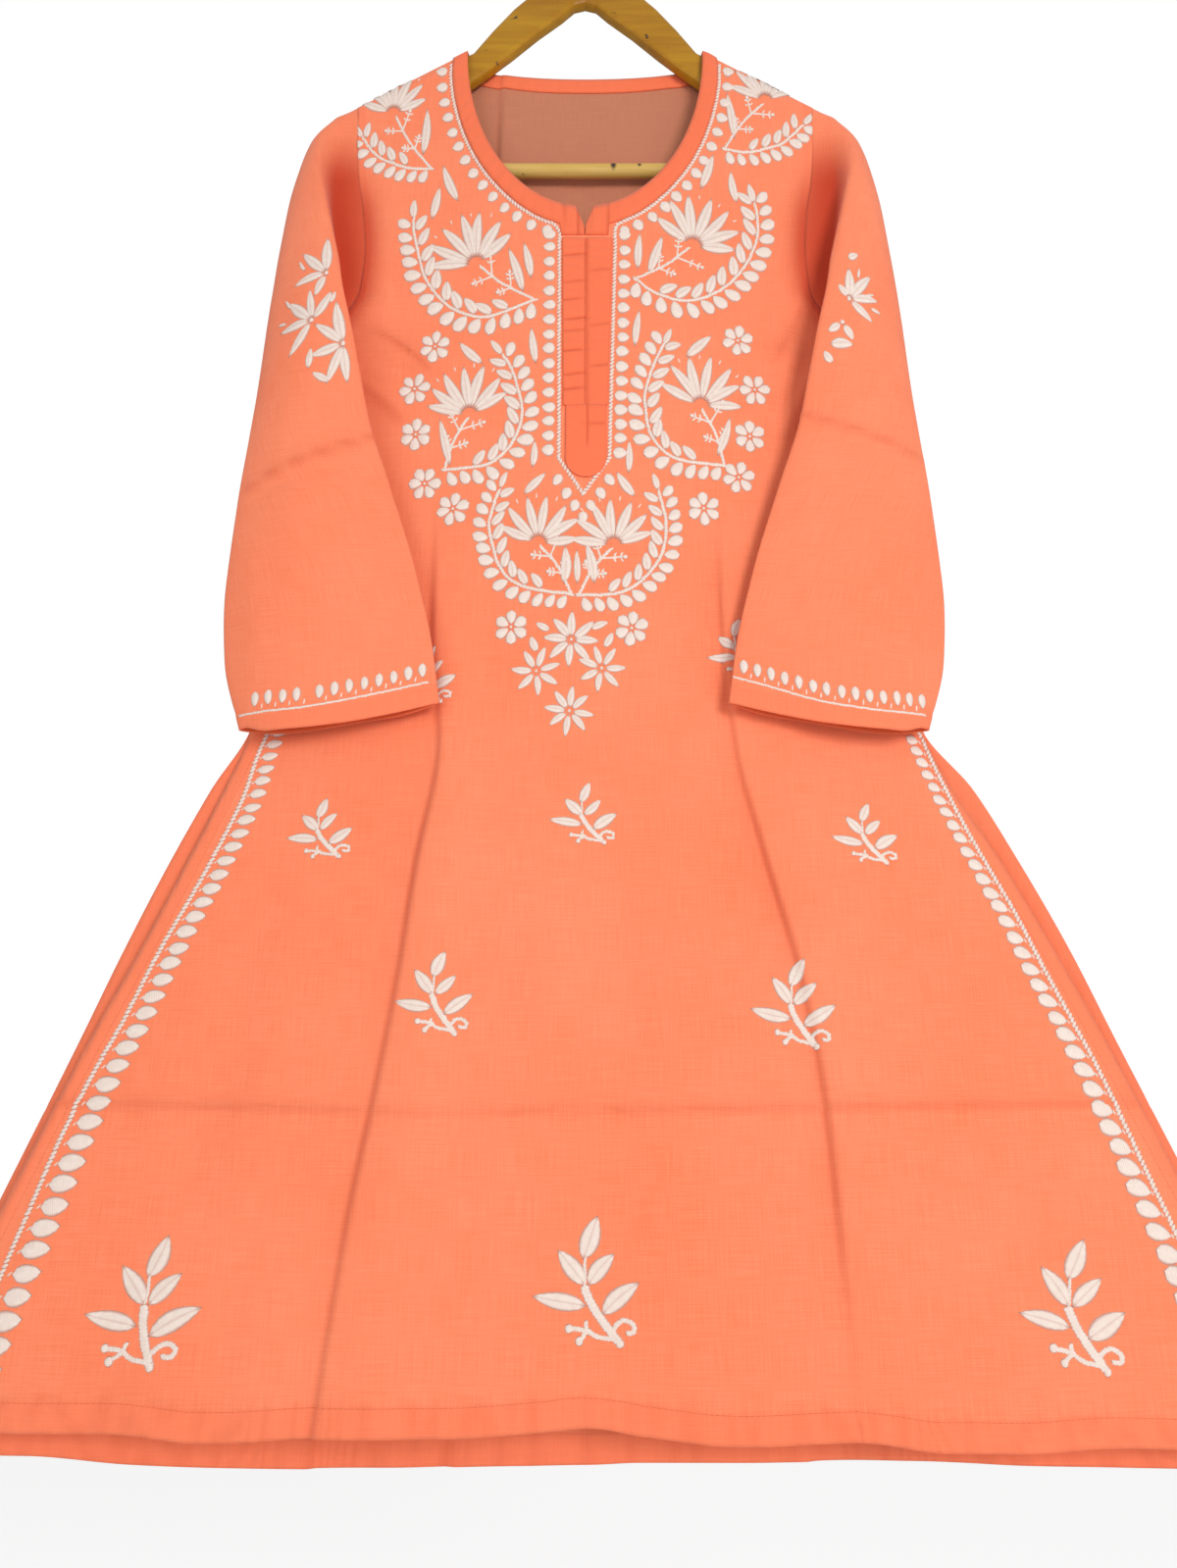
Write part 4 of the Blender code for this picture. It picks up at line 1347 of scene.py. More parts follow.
        # Painted shade in the valley between the armhole seam and the sleeve's fold.
        past = np.arange(len(x[0])) / self.parts[0] - self.valley
        painted_shade = np.exp(-((past / np.where(past < 0, *self.valley_shade_halves)) ** 2))
        for sign, (height, run) in ((-1, self.shade_top), (1, self.shade_foot)):
            painted_shade = painted_shade * smoothstep(sign * (z - height) / run)
        painted_shade = deepen_painted_shade(painted_shade, marks, x, z, front)
        return Weave(points, np.stack([around, z], axis=-1), turned, painted_shade)

    def build(self, finishes: Sequence[Material]) -> Piece:
        """Make the sleeve as one sheet, with a finish for its outer and inner face."""
        return cloth_object(f"sleeve_{self.hand.name.lower()}_cloth", (self.weave(),),
                            self.cut.wall, finishes, (self.hand.value * 0.5, -1.0, 0.0))


# ---------------- hand embroidery
# The needlework is drawn on a sheet where a motif is as tall as it is wide, in cm.
# On the garment it hangs longer, by a factor of STRETCH + STRETCH_RISE * height.
STRETCH = 1.458
STRETCH_RISE = 0.00467


def drawn(places: Rows) -> Array:
    """Places (x, z) of the garment, in cm, as places of the drawing."""
    places = np.array(places, float)
    heights = np.log(STRETCH + STRETCH_RISE * places[..., 1]) / STRETCH_RISE
    return np.stack([places[..., 0], heights], axis=-1)


def hung(heights: Array) -> Array:
    """Heights of the drawing, in cm, as heights of the garment."""
    return (np.exp(STRETCH_RISE * heights) - STRETCH) / STRETCH_RISE


class Motif(Enum):
    """The shapes that the needle fills.

    A value is (rows, columns, vein, outline): the grid's size, how deep its vein is, and
    the outline's start, run, bend and bluntness.
    """

    LEAF = (8, 5, 0.4, (0.0, 1.0, 0.85, 0.84))
    DROP = (7, 5, 0.12, (0.0, 1.0, 1.25, 0.55))
    BLADE = (9, 5, 0.4, (0.04, 0.96, 1.0, 0.8))
    LOBE = (6, 5, 0.2, (0.0, 1.0, 1.5, 0.52))
    STITCH = (4, 3, 0.0, (0.06, 0.88, 1.0, 0.5))
    KNOT = (5, 5, 0.001, (0.06, 0.88, 1.0, 0.5))
    TACK = (2, 3, 0.002, (0.5, 0.0, 1.0, 1.0))

    def half_widths(self, t: Array) -> Array:
        """Half the shape's width, as a share of its widest, from its foot (t = 0) to its tip (1)."""
        start, run, bend, blunt = self.value[3]
        return np.sin(math.pi * (start + run * t ** bend)) ** blunt


def along_path(places: Rows, pitch: float, start: float = 0.0,
               last_pitch: float | None = None) -> tuple[Array, Array]:
    """Places on a smooth curve through a few given ones.

    Args:
        places: The places of the drawing that it passes.
        pitch: The distance between two places, in cm.
        start: How far along the first one lies, in cm.
        last_pitch: The distance at the path's end, if it changes along the way.

    Returns:
        The places and the unit directions there.
    """
    points = np.array(places, float)
    before = np.vstack([2 * points[0] - points[1], points[:-2]])
    after = np.vstack([points[2:], 2 * points[-1] - points[-2]])
    fine = []
    for b, p, q, a in zip(before, points[:-1], points[1:], after):
        s = np.linspace(0.0, 1.0, 24, endpoint=False)[:, None]
        fine.append(0.5 * (2 * p + (q - b) * s + (2 * b - 5 * p + 4 * q - a) * s**2
                           + (3 * p - b - 3 * q + a) * s**3))
    fine = np.vstack([*fine, points[-1:]])
    run = run_along(fine)
    growth = ((last_pitch or pitch) - pitch) / run[-1]
    count = int(run[-1] / min(pitch, last_pitch or pitch)) + 2
    stops = start + pitch * np.arange(count)
    if growth:
        stops = start + pitch * np.expm1(growth * np.arange(count)) / growth
    stops = stops[stops <= run[-1] + 1e-6]
    behind, at, ahead = (
        np.stack([np.interp(stops + step, run, line) for line in fine.T], axis=-1)
        for step in (-0.05, 0.0, 0.05))
    way = ahead - behind
    way /= np.linalg.norm(way, axis=1, keepdims=True) + 1e-12
    return at, way


def heading(direction: Row) -> float:
    """A direction's angle from straight up, in degrees, positive to the right."""
    return math.degrees(math.atan2(direction[0], direction[1]))


def toward(turn: float) -> Array:
    """The unit step that points turn degrees from straight up, positive to the right."""
    angle = math.radians(turn)
    return np.array([math.sin(angle), math.cos(angle)])


class Needlework:
    """Raised stitches laid on one piece of cloth and joined in one mesh."""

    def __init__(self, name: str, cloth: Piece, seed: int,
                 side: Side = Side.FRONT) -> None:
        """Take the cloth that the needle works on.

        Args:
            name: The piece's name.
            cloth: The finished sheet below it.
            seed: Fixes the small unevenness of handwork.
            side: The side of the garment that it works from.
        """
        self.name = name
        self.out = side.out
        self.tree = BVHTree.FromObject(cloth, bpy.context.evaluated_depsgraph_get())
        self.uneven = np.random.default_rng(seed)
        self.points: list[Vector] = []
        self.faces: list[Array] = []
        self.flats: list[Array] = []
        self.rim_painted_shades: list[Array] = []

    def add(self, motif: Motif, x: float, z: float, turn: float,
            length: float, width: float, rise: float = 1.2) -> None:
        """Lay one shape on the cloth.

        Args:
            motif: Its outline.
            x: Where its foot lies across on the drawing, in cm.
            z: Where its foot lies up on the drawing, in cm.
            turn: The way it points, in degrees from straight up.
            length: Its length in mm.
            width: Its width in mm.
            rise: How far its middle stands off the cloth, in mm.
        """
        rows, columns, vein, _ = motif.value
        wobble = self.uneven.uniform(-1.0, 1.0, 4)
        edge = 0.0 if motif in (Motif.STITCH, Motif.TACK) else 0.07
        width *= (1 + 2 * edge) * (1 + 0.07 * wobble[1])
        length *= 1 + 0.05 * wobble[0]
        angle = math.radians(turn + 2.5 * wobble[2])
        t = np.linspace(0.0, 1.0, rows)[:, None]
        s = np.linspace(-1.0, 1.0, columns)[None, :]
        half = motif.half_widths(t) * width / 2 * MM
        bend = 0.05 * wobble[3] * length * MM * np.sin(math.pi * t)
        across = s * half + bend
        along = (t * (1 + 2 * edge) - edge) * length * MM + 0 * s
        px = x * CM + across * math.cos(angle) + along * math.sin(angle)
        pz = z * CM - across * math.sin(angle) + along * math.cos(angle)
        pz = hung(pz / CM) * CM
        dome = np.sqrt(np.maximum(1 - s * s, 0.0)) * (1 - vein * np.exp(-(s / 0.35) ** 2))
        taper = np.sqrt(np.maximum(np.sin(math.pi * (0.04 + 0.92 * t)), 0.0))
        high = (rise * dome * taper - 0.08 * (np.abs(s) > 0.99)) * MM
        first = len(self.points) + np.arange(rows * columns).reshape(rows, columns)
        self.points += [self._on_cloth(*place) for place in zip(px.flat, pz.flat, high.flat)]
        self.faces.append(np.stack(
            [first[:-1, :-1], first[:-1, 1:], first[1:, 1:], first[1:, :-1]], axis=-1
        ).reshape(-1, 4))
        self.flats.append(np.stack([s * half + 0 * t, along], axis=-1).reshape(-1, 2))
        # Painted shade at the shape's edges and ends, and along a leaf's vein.
        vein_painted_shade = 0.74 * (np.abs(s) < 0.01) * (vein > 0.3)
        self.rim_painted_shades.append(np.maximum(np.maximum(np.abs(s), vein_painted_shade),
                                    np.abs(2 * t - 1) ** 8).ravel())

    def _on_cloth(self, x: float, z: float, high: float) -> Vector:
        """Find the point above the cloth's outer face.

        Args:
            x: Its place across.
            z: Its place up.
            high: How far it stands off the cloth.

        Returns:
            The point.
        """
        start = Vector((x, self.out * 0.3, z))
        hit, normal, _, _ = self.tree.ray_cast(start, Vector((0.0, -self.out, 0.0)))
        if hit is None:
            hit, normal, _, _ = self.tree.find_nearest(Vector((x, self.out * 0.02, z)))
        if normal.y * self.out < 0:
            normal = -normal
        return hit + normal * high

    def line(self, places: Rows, pitch: float = 2.5, length: float = 4.8,
             width: float = 2.0, slant: float = 18.0, rise: float = 0.8) -> None:
        """Work a corded line of slanted stitches.

        Args:
            places: What it passes on the drawing, in cm.
            pitch: From one stitch to the next, in mm.
            length: A stitch's length, in mm.
            width: A stitch's width, in mm.
            slant: How far a stitch leans from the line, in degrees.
            rise: How far it stands off the cloth, in mm.
        """
        for place, way in zip(*along_path(places, pitch / 10)):
            self.leaf(*place, heading(way) + slant, length, width, Motif.STITCH, rise)

    def cord(self, places: Rows, width: float = 3.5) -> None:
        """Work the thick, twisted line of the neck and the slits."""
        self.line(places, pitch=2.9, length=width * 1.3, width=width * 0.72, slant=40.0,
                  rise=1.2)

    def seam(self, places: Rows) -> None:
        """Work a machine seam of short, thin stitches through places of the drawing."""
        for place, way in zip(*along_path(places, 0.32, 0.1)):
            self.add(Motif.TACK, *place, heading(way), 2.5, 0.45, 0.5)

    def leaf(self, x: float, z: float, turn: float, length: float, width: float,
             motif: Motif = Motif.LEAF, rise: float = 1.2) -> None:
        """Lay a shape by its middle instead of its foot."""
        foot = np.array([x, z]) - length / 20 * toward(turn)
        self.add(motif, *foot, turn, length, width, rise)

    def flower(self, x: float, z: float, petals: int, length: float, width: float,
               turn: float, gap: float = 2.2, motif: Motif = Motif.LOBE) -> None:
        """Lay petals round a small knot.

        Args:
            x: Its middle across, in cm.
            z: Its middle up, in cm.
            petals: How many petals it has.
            length: A petal's length, in mm.
            width: A petal's width, in mm.
            turn: Where the first petal points.
            gap: From the middle to a petal's foot, in mm.
            motif: The petals' outline.
        """
        for k in range(petals):
            way = turn + 360.0 * k / petals
            self.add(motif, *(np.array([x, z]) + gap / 10 * toward(way)), way, length, width)
        self.leaf(x, z, turn, 2.2, 2.2, Motif.KNOT)

    def build(self, finish: Material) -> Piece:
        """Join everything laid so far into one piece.

        Args:
            finish: The thread.

        Returns:
            The piece.
        """
        faces = np.vstack(self.faces)
        data = bpy.data.meshes.new(self.name)
        data.from_pydata(self.points, [], faces.tolist())
        rim_painted_shade = data.attributes.new("rim_painted_shade", "FLOAT", "POINT")
        rim_painted_shade.data.foreach_set("value", np.concatenate(self.rim_painted_shades))
        uv = data.uv_layers.new(name="stitch").uv
        uv.foreach_set("vector", np.vstack(self.flats)[faces.ravel()].ravel())
        data.validate()
        data.shade_smooth()
        data.materials.append(finish)
        return put_in_scene(self.name, data)


# How far a lotus's petals reach from its heart, in mm, from the first to the last.
LOTUS_PETALS = (36, 40, 40, 41, 41, 39, 34)


@dataclass(frozen=True)
class Garland:
    """A crescent stem with leaves on both sides and a lotus inside its curve.

    Places in cm: the stem runs from its root to its tip, the lotus is its heart.
    The lotus's petals point from first to last, in degrees from straight up.
    """

    stem: tuple[Place, ...]
    lotus: Place
    first: float
    last: float
    scale: float = 1.0

    def work(self, needle: Needlework) -> None:
        """Embroider the garland.

        Args:
            needle: The needlework.
        """
        stem, heart, scale = drawn(self.stem), drawn(self.lotus), self.scale
        needle.line(stem, width=2.4, length=5.8, rise=1.2)
        self._leaves(needle, stem, heart, True)
        self._leaves(needle, stem, heart, False)
        at, way = along_path(stem, 0.2)
        tip = heading(way[-1])
        needle.add(Motif.LEAF, *(at[-1] + 0.2 * toward(tip)), tip, 15 * scale, 6.4 * scale)
        turns = np.linspace(self.first, self.last, len(LOTUS_PETALS))
        for turn, length in zip(turns, LOTUS_PETALS):
            needle.add(Motif.BLADE, *(heart + 0.78 * scale * toward(turn)), turn,
                       (length - 7.8) * scale, 8.8 * scale, 1.3)
        for turn in (turns[1:5] + turns[2:6]) / 2:
            needle.add(Motif.STITCH, *(heart + 3.9 * scale * toward(turn)), turn, 4.6, 1.3, 0.6)
        self._stalk(needle, heart, stem[0])

    def _leaves(self, needle: Needlework, stem: Array, heart: Array, outer: bool) -> None:
        """Lay the row of drops outside the stem or of leaves inside it.

        Args:
            needle: The needlework.
            stem: The stem's places on the drawing.
            heart: The lotus's place, which is on the stem's inner side.
            outer: Whether the row is the outer one.
        """
        pitch, start, lean, length, width, motif = (
            (1.04, 0.35, 62, 13.4, 9.9, Motif.DROP) if outer
            else (1.37, 2.2, 44, 16.0, 8.6, Motif.LEAF))
        at, way = along_path(stem, pitch * self.scale, start)
        for k, (place, direction) in enumerate(zip(at, way)):
            normal = np.array([direction[1], -direction[0]])
            side = 1.0 if (np.dot(heart - place, normal) > 0) != outer else -1.0
            size = (0.9 + 0.1 * math.sin(math.pi * k / max(len(at) - 1, 1))) * self.scale
            needle.add(motif, *(place + normal * side * 0.22), heading(direction) + side * lean,
                       length * size, width * size)

    def _stalk(self, needle: Needlework, heart: Array, root: Array) -> None:
        """Work the lotus's bowed stalk and its small twigs.

        Args:
            needle: The needlework.
            heart: The lotus's place.
            root: The garland's root, where the stalk ends.
        """
        run = root - heart
        bow = 0.25 if self.first + self.last > 0 else -0.25
        side = np.array([-run[1], run[0]]) / np.linalg.norm(run) * bow
        needle.line((heart + run * 0.09, heart + run * 0.5 + side, root), width=2.3, length=5.2)
        for share, lean, reach in ((0.3, 1, 2.0), (0.3, -1, 1.5), (0.62, 1, 1.2), (0.62, -1, 1.0)):
            self._twig(needle, heart + run * share + side * 0.8, heading(-run) + lean * 52,
                       reach * self.scale)

    @staticmethod
    def _twig(needle: Needlework, foot: Array, turn: float, reach: float) -> None:
        """Work a thin twig with side stitches and a knot at its end.

        Args:
            needle: The needlework.
            foot: Where it starts.
            turn: The way it points, in degrees from straight up.
            reach: Its length, in cm.
        """
        way = toward(turn)
        needle.line((foot, foot + way * reach * 0.5, foot + way * reach),
                    pitch=2.0, length=3.8, width=1.8, slant=8.0)
        for share, lean in ((0.55, 62), (0.55, -62), (0.85, 62), (0.85, -62)):
            needle.add(Motif.STITCH, *(foot + way * reach * share), turn + lean, 4.2, 1.7, 0.7)
        needle.leaf(*(foot + way * (reach + 0.1)), turn, 3.2, 2.8, Motif.KNOT)


GARLANDS = (
    Garland(((-3.9, -44.9), (-6.2, -46), (-8, -46.5), (-10.2, -45.7), (-11.7, -44.1),
             (-12.8, -42.1), (-13.4, -39.7), (-13.9, -37.4), (-14, -35.9)),
            (-8.7, -41.1), -90, 50),
    Garland(((4, -42.8), (5.6, -44.2), (7.8, -44.9), (10, -44.2), (11.8, -42.6),
             (13.2, -40.3), (14, -37.9), (14.1, -35.6), (13.9, -34.2)),
            (8.7, -39.2), -50, 94),
    Garland(((-10.4, -60.6), (-7.5, -60.3), (-6.1, -59.4), (-5.1, -57.7), (-4.7, -55.7),
             (-5, -53.7), (-5.7, -51.3), (-6.3, -50.3)),
            (-8.7, -55.7), -78, 62, 0.9),
    Garland(((10.4, -60.2), (7.3, -59.9), (5.9, -59.1), (4.9, -57.5), (4.6, -55.5),
             (4.6, -53.8), (5.3, -51.2), (6.1, -49.3)),
            (8.8, -54.9), -62, 88, 0.9),
    Garland(((-0.9, -71.2), (-3.6, -70.8), (-5.1, -70.1), (-6, -69), (-6.5, -67.5),
             (-6.9, -65.5), (-6.6, -63.7), (-6.2, -62.4)),
            (-3.3, -67), -65, 84, 0.82),
    Garland(((-0.4, -71.3), (2, -71.2), (3.6, -70.5), (4.8, -69.2), (5.6, -67.7),
             (5.9, -65.9), (5.8, -64.3), (5.4, -62.6)),
            (2.1, -67.2), -80, 72, 0.82),
    Garland(((-12.8, -30.6), (-14.3, -30.5), (-15.8, -30), (-17.1, -29.2), (-18, -28.2),
             (-18.9, -26.6)),
            (-16.4, -24), -66, 66, 0.86),
    Garland(((11.7, -28.4), (13.4, -28.7), (14.9, -28.4), (16.4, -27.7), (17.5, -26.6),
             (18.6, -25.2)),
            (15.5, -22.5), -66, 66, 0.86),
)

# Loose leaves of the yoke: place in cm, turn in degrees, length and width in mm.
LOOSE_LEAVES = (
    (-11.1, -32.3, -24, 31, 7.6), (-12.2, -34.4, 12, 25, 7.2), (-13.5, -26.3, 3, 37, 7.4),
    (10.2, -31.1, 24, 29, 7.6), (12.3, -32.7, -8, 24, 7.2), (12.5, -24.5, -3, 36, 7.4),
    (-5.5, -41.9, -20, 34, 7.4), (-4.6, -40.8, -13, 28, 6.8), (-3.9, -49.4, -6, 26, 6),
    (-8.8, -49.9, -46, 24, 7.2), (-3.8, -59.4, 2, 18, 5.8), (-3.6, -62, 48, 20, 6.8),
    (4.4, -39.9, 7, 27, 7.2), (5.7, -40.2, 21, 31, 7.4), (4.1, -47.7, 9, 27, 6),
    (8.8, -49.3, 48, 24, 8.2), (3.3, -59.6, 3, 23, 5.4), (3, -62, -35, 21, 6.8),
    (-10.5, -58.1, -16, 34, 6.4), (10.4, -57.5, 18, 30, 6.4),
    (-1.4, -68.8, 2, 25, 7.6), (-0.5, -69, 0, 22, 5), (0.4, -68.7, -12, 27, 7.6),
)

# Six-petalled flowers and their turn; then pointed daisies with petal length and width.
FLOWERS = (
    (-11.6, -49.2, 8), (-13, -53.1, 22), (-12.7, -57.3, 4), (-11.8, -61.7, 30),
    (-9.6, -64, 14), (-5.1, -73.8, 2), (11.9, -48.6, 12), (13, -53.2, 26),
    (12.4, -57.5, 2), (11.4, -61.2, 18), (8.7, -64, 0), (3.3, -73.9, 10),
)
DAISIES = (
    (-0.9, -74.8, 8, 16, 6.2, 4), (-3.3, -77.2, 7, 13.5, 5.2, 20),
    (1.2, -77, 7, 13.5, 5.2, -16), (-1, -80.2, 8, 13.5, 5.2, 8),
)
DAISY_LEAVES = (
    (-2.9, -73.8, -64, 10, 5), (-3.5, -75.1, -22, 11, 5.4),
    (1.1, -73.7, 70, 12, 5), (1.7, -74.8, 30, 11, 5),
)

# Sprigs of the skirt: place of each one's middle in cm, how wide and tall, turn and lean.
SPRIGS = (
    (-17.4, -88.6, 0.78, 0.56, -2, 1), (0, -87.8, 0.76, 0.55, 0, 1),
    (18.5, -88.9, 0.78, 0.56, 2, 1),
    (-9.2, -99.6, 0.82, 0.72, 3, 1), (13, -100.2, 0.86, 0.76, 6, 1),
    (-24.9, -117.3, 1.12, 1.07, 3, 0.25), (0.3, -116.2, 1.02, 1.02, 0, 1),
    (28, -117.4, 1.08, 1.05, 9, 1.1),
    (-10.9, -77.6, 0.74, 0.56, 4, 1), (10.7, -75.6, 0.74, 0.56, -4, 1),
)

# A sprig's leaves, in mm from its middle: foot and tip across and up, then width.
SPRIG_LEAVES = (
    (-2.7, 19.1, 4.8, 40.4, 10.3), (-2.7, 4.3, -16.2, 22.3, 10.4), (0.5, 4.3, 13.6, 21.3, 9.4),
    (-2.7, -8, -28.7, -3.7, 9.8), (8.5, -12.2, 27.9, 3.7, 11.2),
)

# Its stems: width in mm, then the places; a lean moves the stem's foot to the right.
SPRIG_STEMS = (
    (2.1, ((-2.1, 17.6), (-1.8, 10), (-2, 4))),
    (6.2, ((-2.1, 1.6), (1.6, -7), (8, -17), (16.4, -28.2))),
    (3.4, ((13, -26.6), (5.3, -25.5), (-0.5, -22.3), (-4.6, -21.2), (-10.6, -20.7))),
    (3, ((-0.8, -22), (-2.6, -24.4), (-4.6, -27.4))),
    (3, ((-0.8, -22.4), (-1.4, -19.4), (-1.6, -16.8))),
    (3.6, ((13.4, -22.2), (16.5, -17.8), (20.4, -16.4), (25, -19), (24.6, -23),
           (20.8, -23.4))),
)
SPRIG_KNOTS = ((-10.9, -20.7), (-5, -27.8), (17.2, -29.2))

# The drops round the line's point below the placket: places in cm, and turn.
POINT_DROPS = (
    (-2, -61.7, 35), (-1.3, -62.9, 30), (-0.7, -63.9, 20), (1.9, -61.7, -35),
    (1.2, -62.9, -30), (0.5, -63.9, -20), (-0.1, -64.9, 0),
)


@dataclass(frozen=True)
class YokeLine:
    """The corded line and its drops round the band and down the placket, in cm."""

    left: Place = (-2.05, -1.9)
    right: Place = (2.5, 1.85)
    foot: float = -59.8
    apex: Place = (-0.1, -62.9)
    off_band: float = 0.22
    neck_pitch: float = 1.38
    placket_pitch: float = 1.06

    def path(self, front: Panel) -> tuple[Array, Array]:
        """Find where the line runs on both sides.

        Args:
            front: The front panel.

        Returns:
            Two rows of places on the drawing, from a shoulder down to the foot.
        """
        neck = front.top.points[0][:, (0, 2)] / CM
        edge = front.top.points[front.band_rows][:, (0, 2)] / CM
        way = edge - neck
        way /= np.linalg.norm(way, axis=1, keepdims=True)
        edge = (edge + way * self.off_band)[front.roll_columns:-front.roll_columns]
        sides = []
        for (top, foot), corner in ((self.left, -38.0), (self.right, -37.4)):
            round_neck = [tuple(p) for p in edge if p[0] * top > 0
                          and abs(p[0]) > abs(top) + 0.3]
            if top > 0:
                round_neck.reverse()
            heights = np.array((corner, -39.4, -42.0, -48.0, -54.0, self.foot))
            across = top + (foot - top) * (corner - heights) / (corner - self.foot)
            sides.append(drawn([*round_neck[::9], *zip(across, heights)]))
        return sides[0], sides[1]

    def work(self, needle: Needlework, front: Panel) -> None:
        """Embroider the line and the drops outside it.

        Args:
            needle: The needlework.
            front: The front panel, whose band the line follows.
        """
        apex = drawn(self.apex)
        for path, side in zip(self.path(front), (1.0, -1.0)):
            needle.cord(path)
            needle.cord((path[-1], apex))
            places = along_path(path, self.neck_pitch, 0.5, self.placket_pitch)
            for place, direction in zip(*places):
                outside = np.array([direction[1], -direction[0]]) * side
                needle.add(Motif.DROP, *(place + outside * 1.26), heading(-outside), 9.4, 8.6)
        for x, z, turn in POINT_DROPS:
            needle.leaf(*drawn((x, z)), turn, 8.8, 7.2, Motif.DROP)


# The lines beside the side slits, from the slit's top to the hem, in cm.
SLIT_LINES = (
    ((-21.4, -80), (-22.3, -82.5), (-23.1, -86.2), (-24.9, -91), (-27.2, -96.2),
     (-28.9, -100.7), (-30.3, -103.9), (-31.5, -107.2), (-32.9, -112), (-34.2, -116.4),
     (-35.8, -121.8)),
    ((22.6, -78.8), (23.4, -81.6), (24.3, -84.5), (25.9, -88.9), (27.9, -93.5),
     (29.4, -97.5), (30.8, -101), (32.1, -104.4), (33.7, -109.4), (35.2, -114),
     (37.6, -121.8)),
)

# The drops beside them: pitch at the top and foot in cm, turn, then gap, length and
# width at the top and foot in mm.
SLIT_DROPS = (
    (0.84, 1.52, 84, 3.6, 8.2, 10.6, 17, 5.6, 12.4),
    (0.82, 1.50, -68, 4.6, 4.6, 7.8, 15.8, 6, 12),
)


def work_yoke(needle: Needlework, front: Panel) -> None:
    """Embroider the front's yoke, from the shoulders to the point below the placket.

    Args:
        needle: The needlework.
        front: The front panel.
    """
    YokeLine().work(needle, front)
    for garland in GARLANDS:
        garland.work(needle)
    for x, z, turn, length, width in LOOSE_LEAVES:
        needle.leaf(*drawn((x, z)), turn, length, width)
    for x, z, turn in FLOWERS:
        needle.flower(*drawn((x, z)), 6, 9.6, 7.8, turn, 2.4)
    for x, z, petals, length, width, turn in DAISIES:
        needle.flower(*drawn((x, z)), petals, length, width, turn, 3.2, Motif.LEAF)
    for x, z, turn, length, width in DAISY_LEAVES:
        needle.leaf(*drawn((x, z)), turn, length, width * 1.1)


def work_sprig(needle: Needlework, sprig: Row) -> None:
    """Embroider one sprig: its stems, then its leaves, then its knots.

    Args:
        needle: The needlework.
        sprig: A row of SPRIGS.
    """
    x, z, wide, tall, turn, lean = sprig
    middle, way = drawn((x, z)), toward(turn) / 10
    aside = np.array([way[1], -way[0]])
    scale = math.sqrt(wide * tall)

    def put(across: float, up: float) -> Array:
        """A place of the sprig, in mm from its middle, on the drawing."""
        across = (across + (1 - lean) * min(up, 0.0) * 0.5) * wide
        return middle + across * aside + up * tall * way

    for width, stem in SPRIG_STEMS:
        needle.line([put(*place) for place in stem], pitch=2.2, length=4.6,
                    width=width * scale, slant=16.0, rise=1.1)
    for foot_x, foot_z, tip_x, tip_z, width in SPRIG_LEAVES:
        foot = put(foot_x, foot_z)
        run = put(tip_x, tip_z) - foot
        needle.add(Motif.LEAF, *foot, heading(run), math.hypot(*run) * 10, width * scale, 1.1)
    for knot in SPRIG_KNOTS:
        needle.leaf(*put(*knot), 0.0, 4.6 * scale, 4.6 * scale, Motif.KNOT)


def work_slit_line(needle: Needlework, line: Rows, drops: Row) -> None:
    """Embroider the cord beside one side slit, and the drops that grow along it.

    Args:
        needle: The needlework.
        line: Where the cord runs, in cm.
        drops: The drops' sizes, a row of SLIT_DROPS.
    """
    path = drawn(line)
    needle.cord(path, width=3.8)
    pitch, last_pitch, turn, *sizes = drops
    at, _ = along_path(path, pitch, 0.3, last_pitch)
    side = math.copysign(1.0, turn)
    for place, share in zip(at, np.linspace(0.0, 1.0, len(at))):
        gap, length, width = (a + (b - a) * share for a, b in zip(sizes[::2], sizes[1::2]))
        foot = place + np.array([side * gap / 10, 0.0])
        if side > 0:
            foot = foot + length / 10 * toward(turn)
        needle.add(Motif.DROP, *foot, turn + (180.0 if side > 0 else 0.0), length, width)
        needle.add(Motif.STITCH, place[0] + side * gap / 22, place[1] - 0.15,
                   turn - side * 38, 2.6 + gap * 0.3, 1.2, 0.6)


def work_skirt(needle: Needlework) -> None:
    """Embroider the sprigs of the skirt and the lines beside the slits.

    Args:
        needle: The needlework.
    """
    for sprig in SPRIGS:
        work_sprig(needle, sprig)
    for line, drops in zip(SLIT_LINES, SLIT_DROPS):
        work_slit_line(needle, line, drops)


def sew_edges(needle: Needlework, side: Side) -> None:
    """Sew the turned hem and slit edges of one panel, from outside.

    Args:
        needle: The needlework on that panel.
        side: Which panel.
    """
    across = np.linspace(-37.5, 39.0, 40)
    needle.seam(drawn(np.stack([across, HEMS.at(across, side.value) + 1.5], axis=-1)))
    heights = np.linspace(-81.5, -121.5, 24)
    for edge, inwards in (("left", 0.95), ("right", -0.95)):
        at = SIDES.at(heights, f"{side.value}_{edge}") + inwards
        needle.seam(drawn(np.stack([at, heights], axis=-1)))


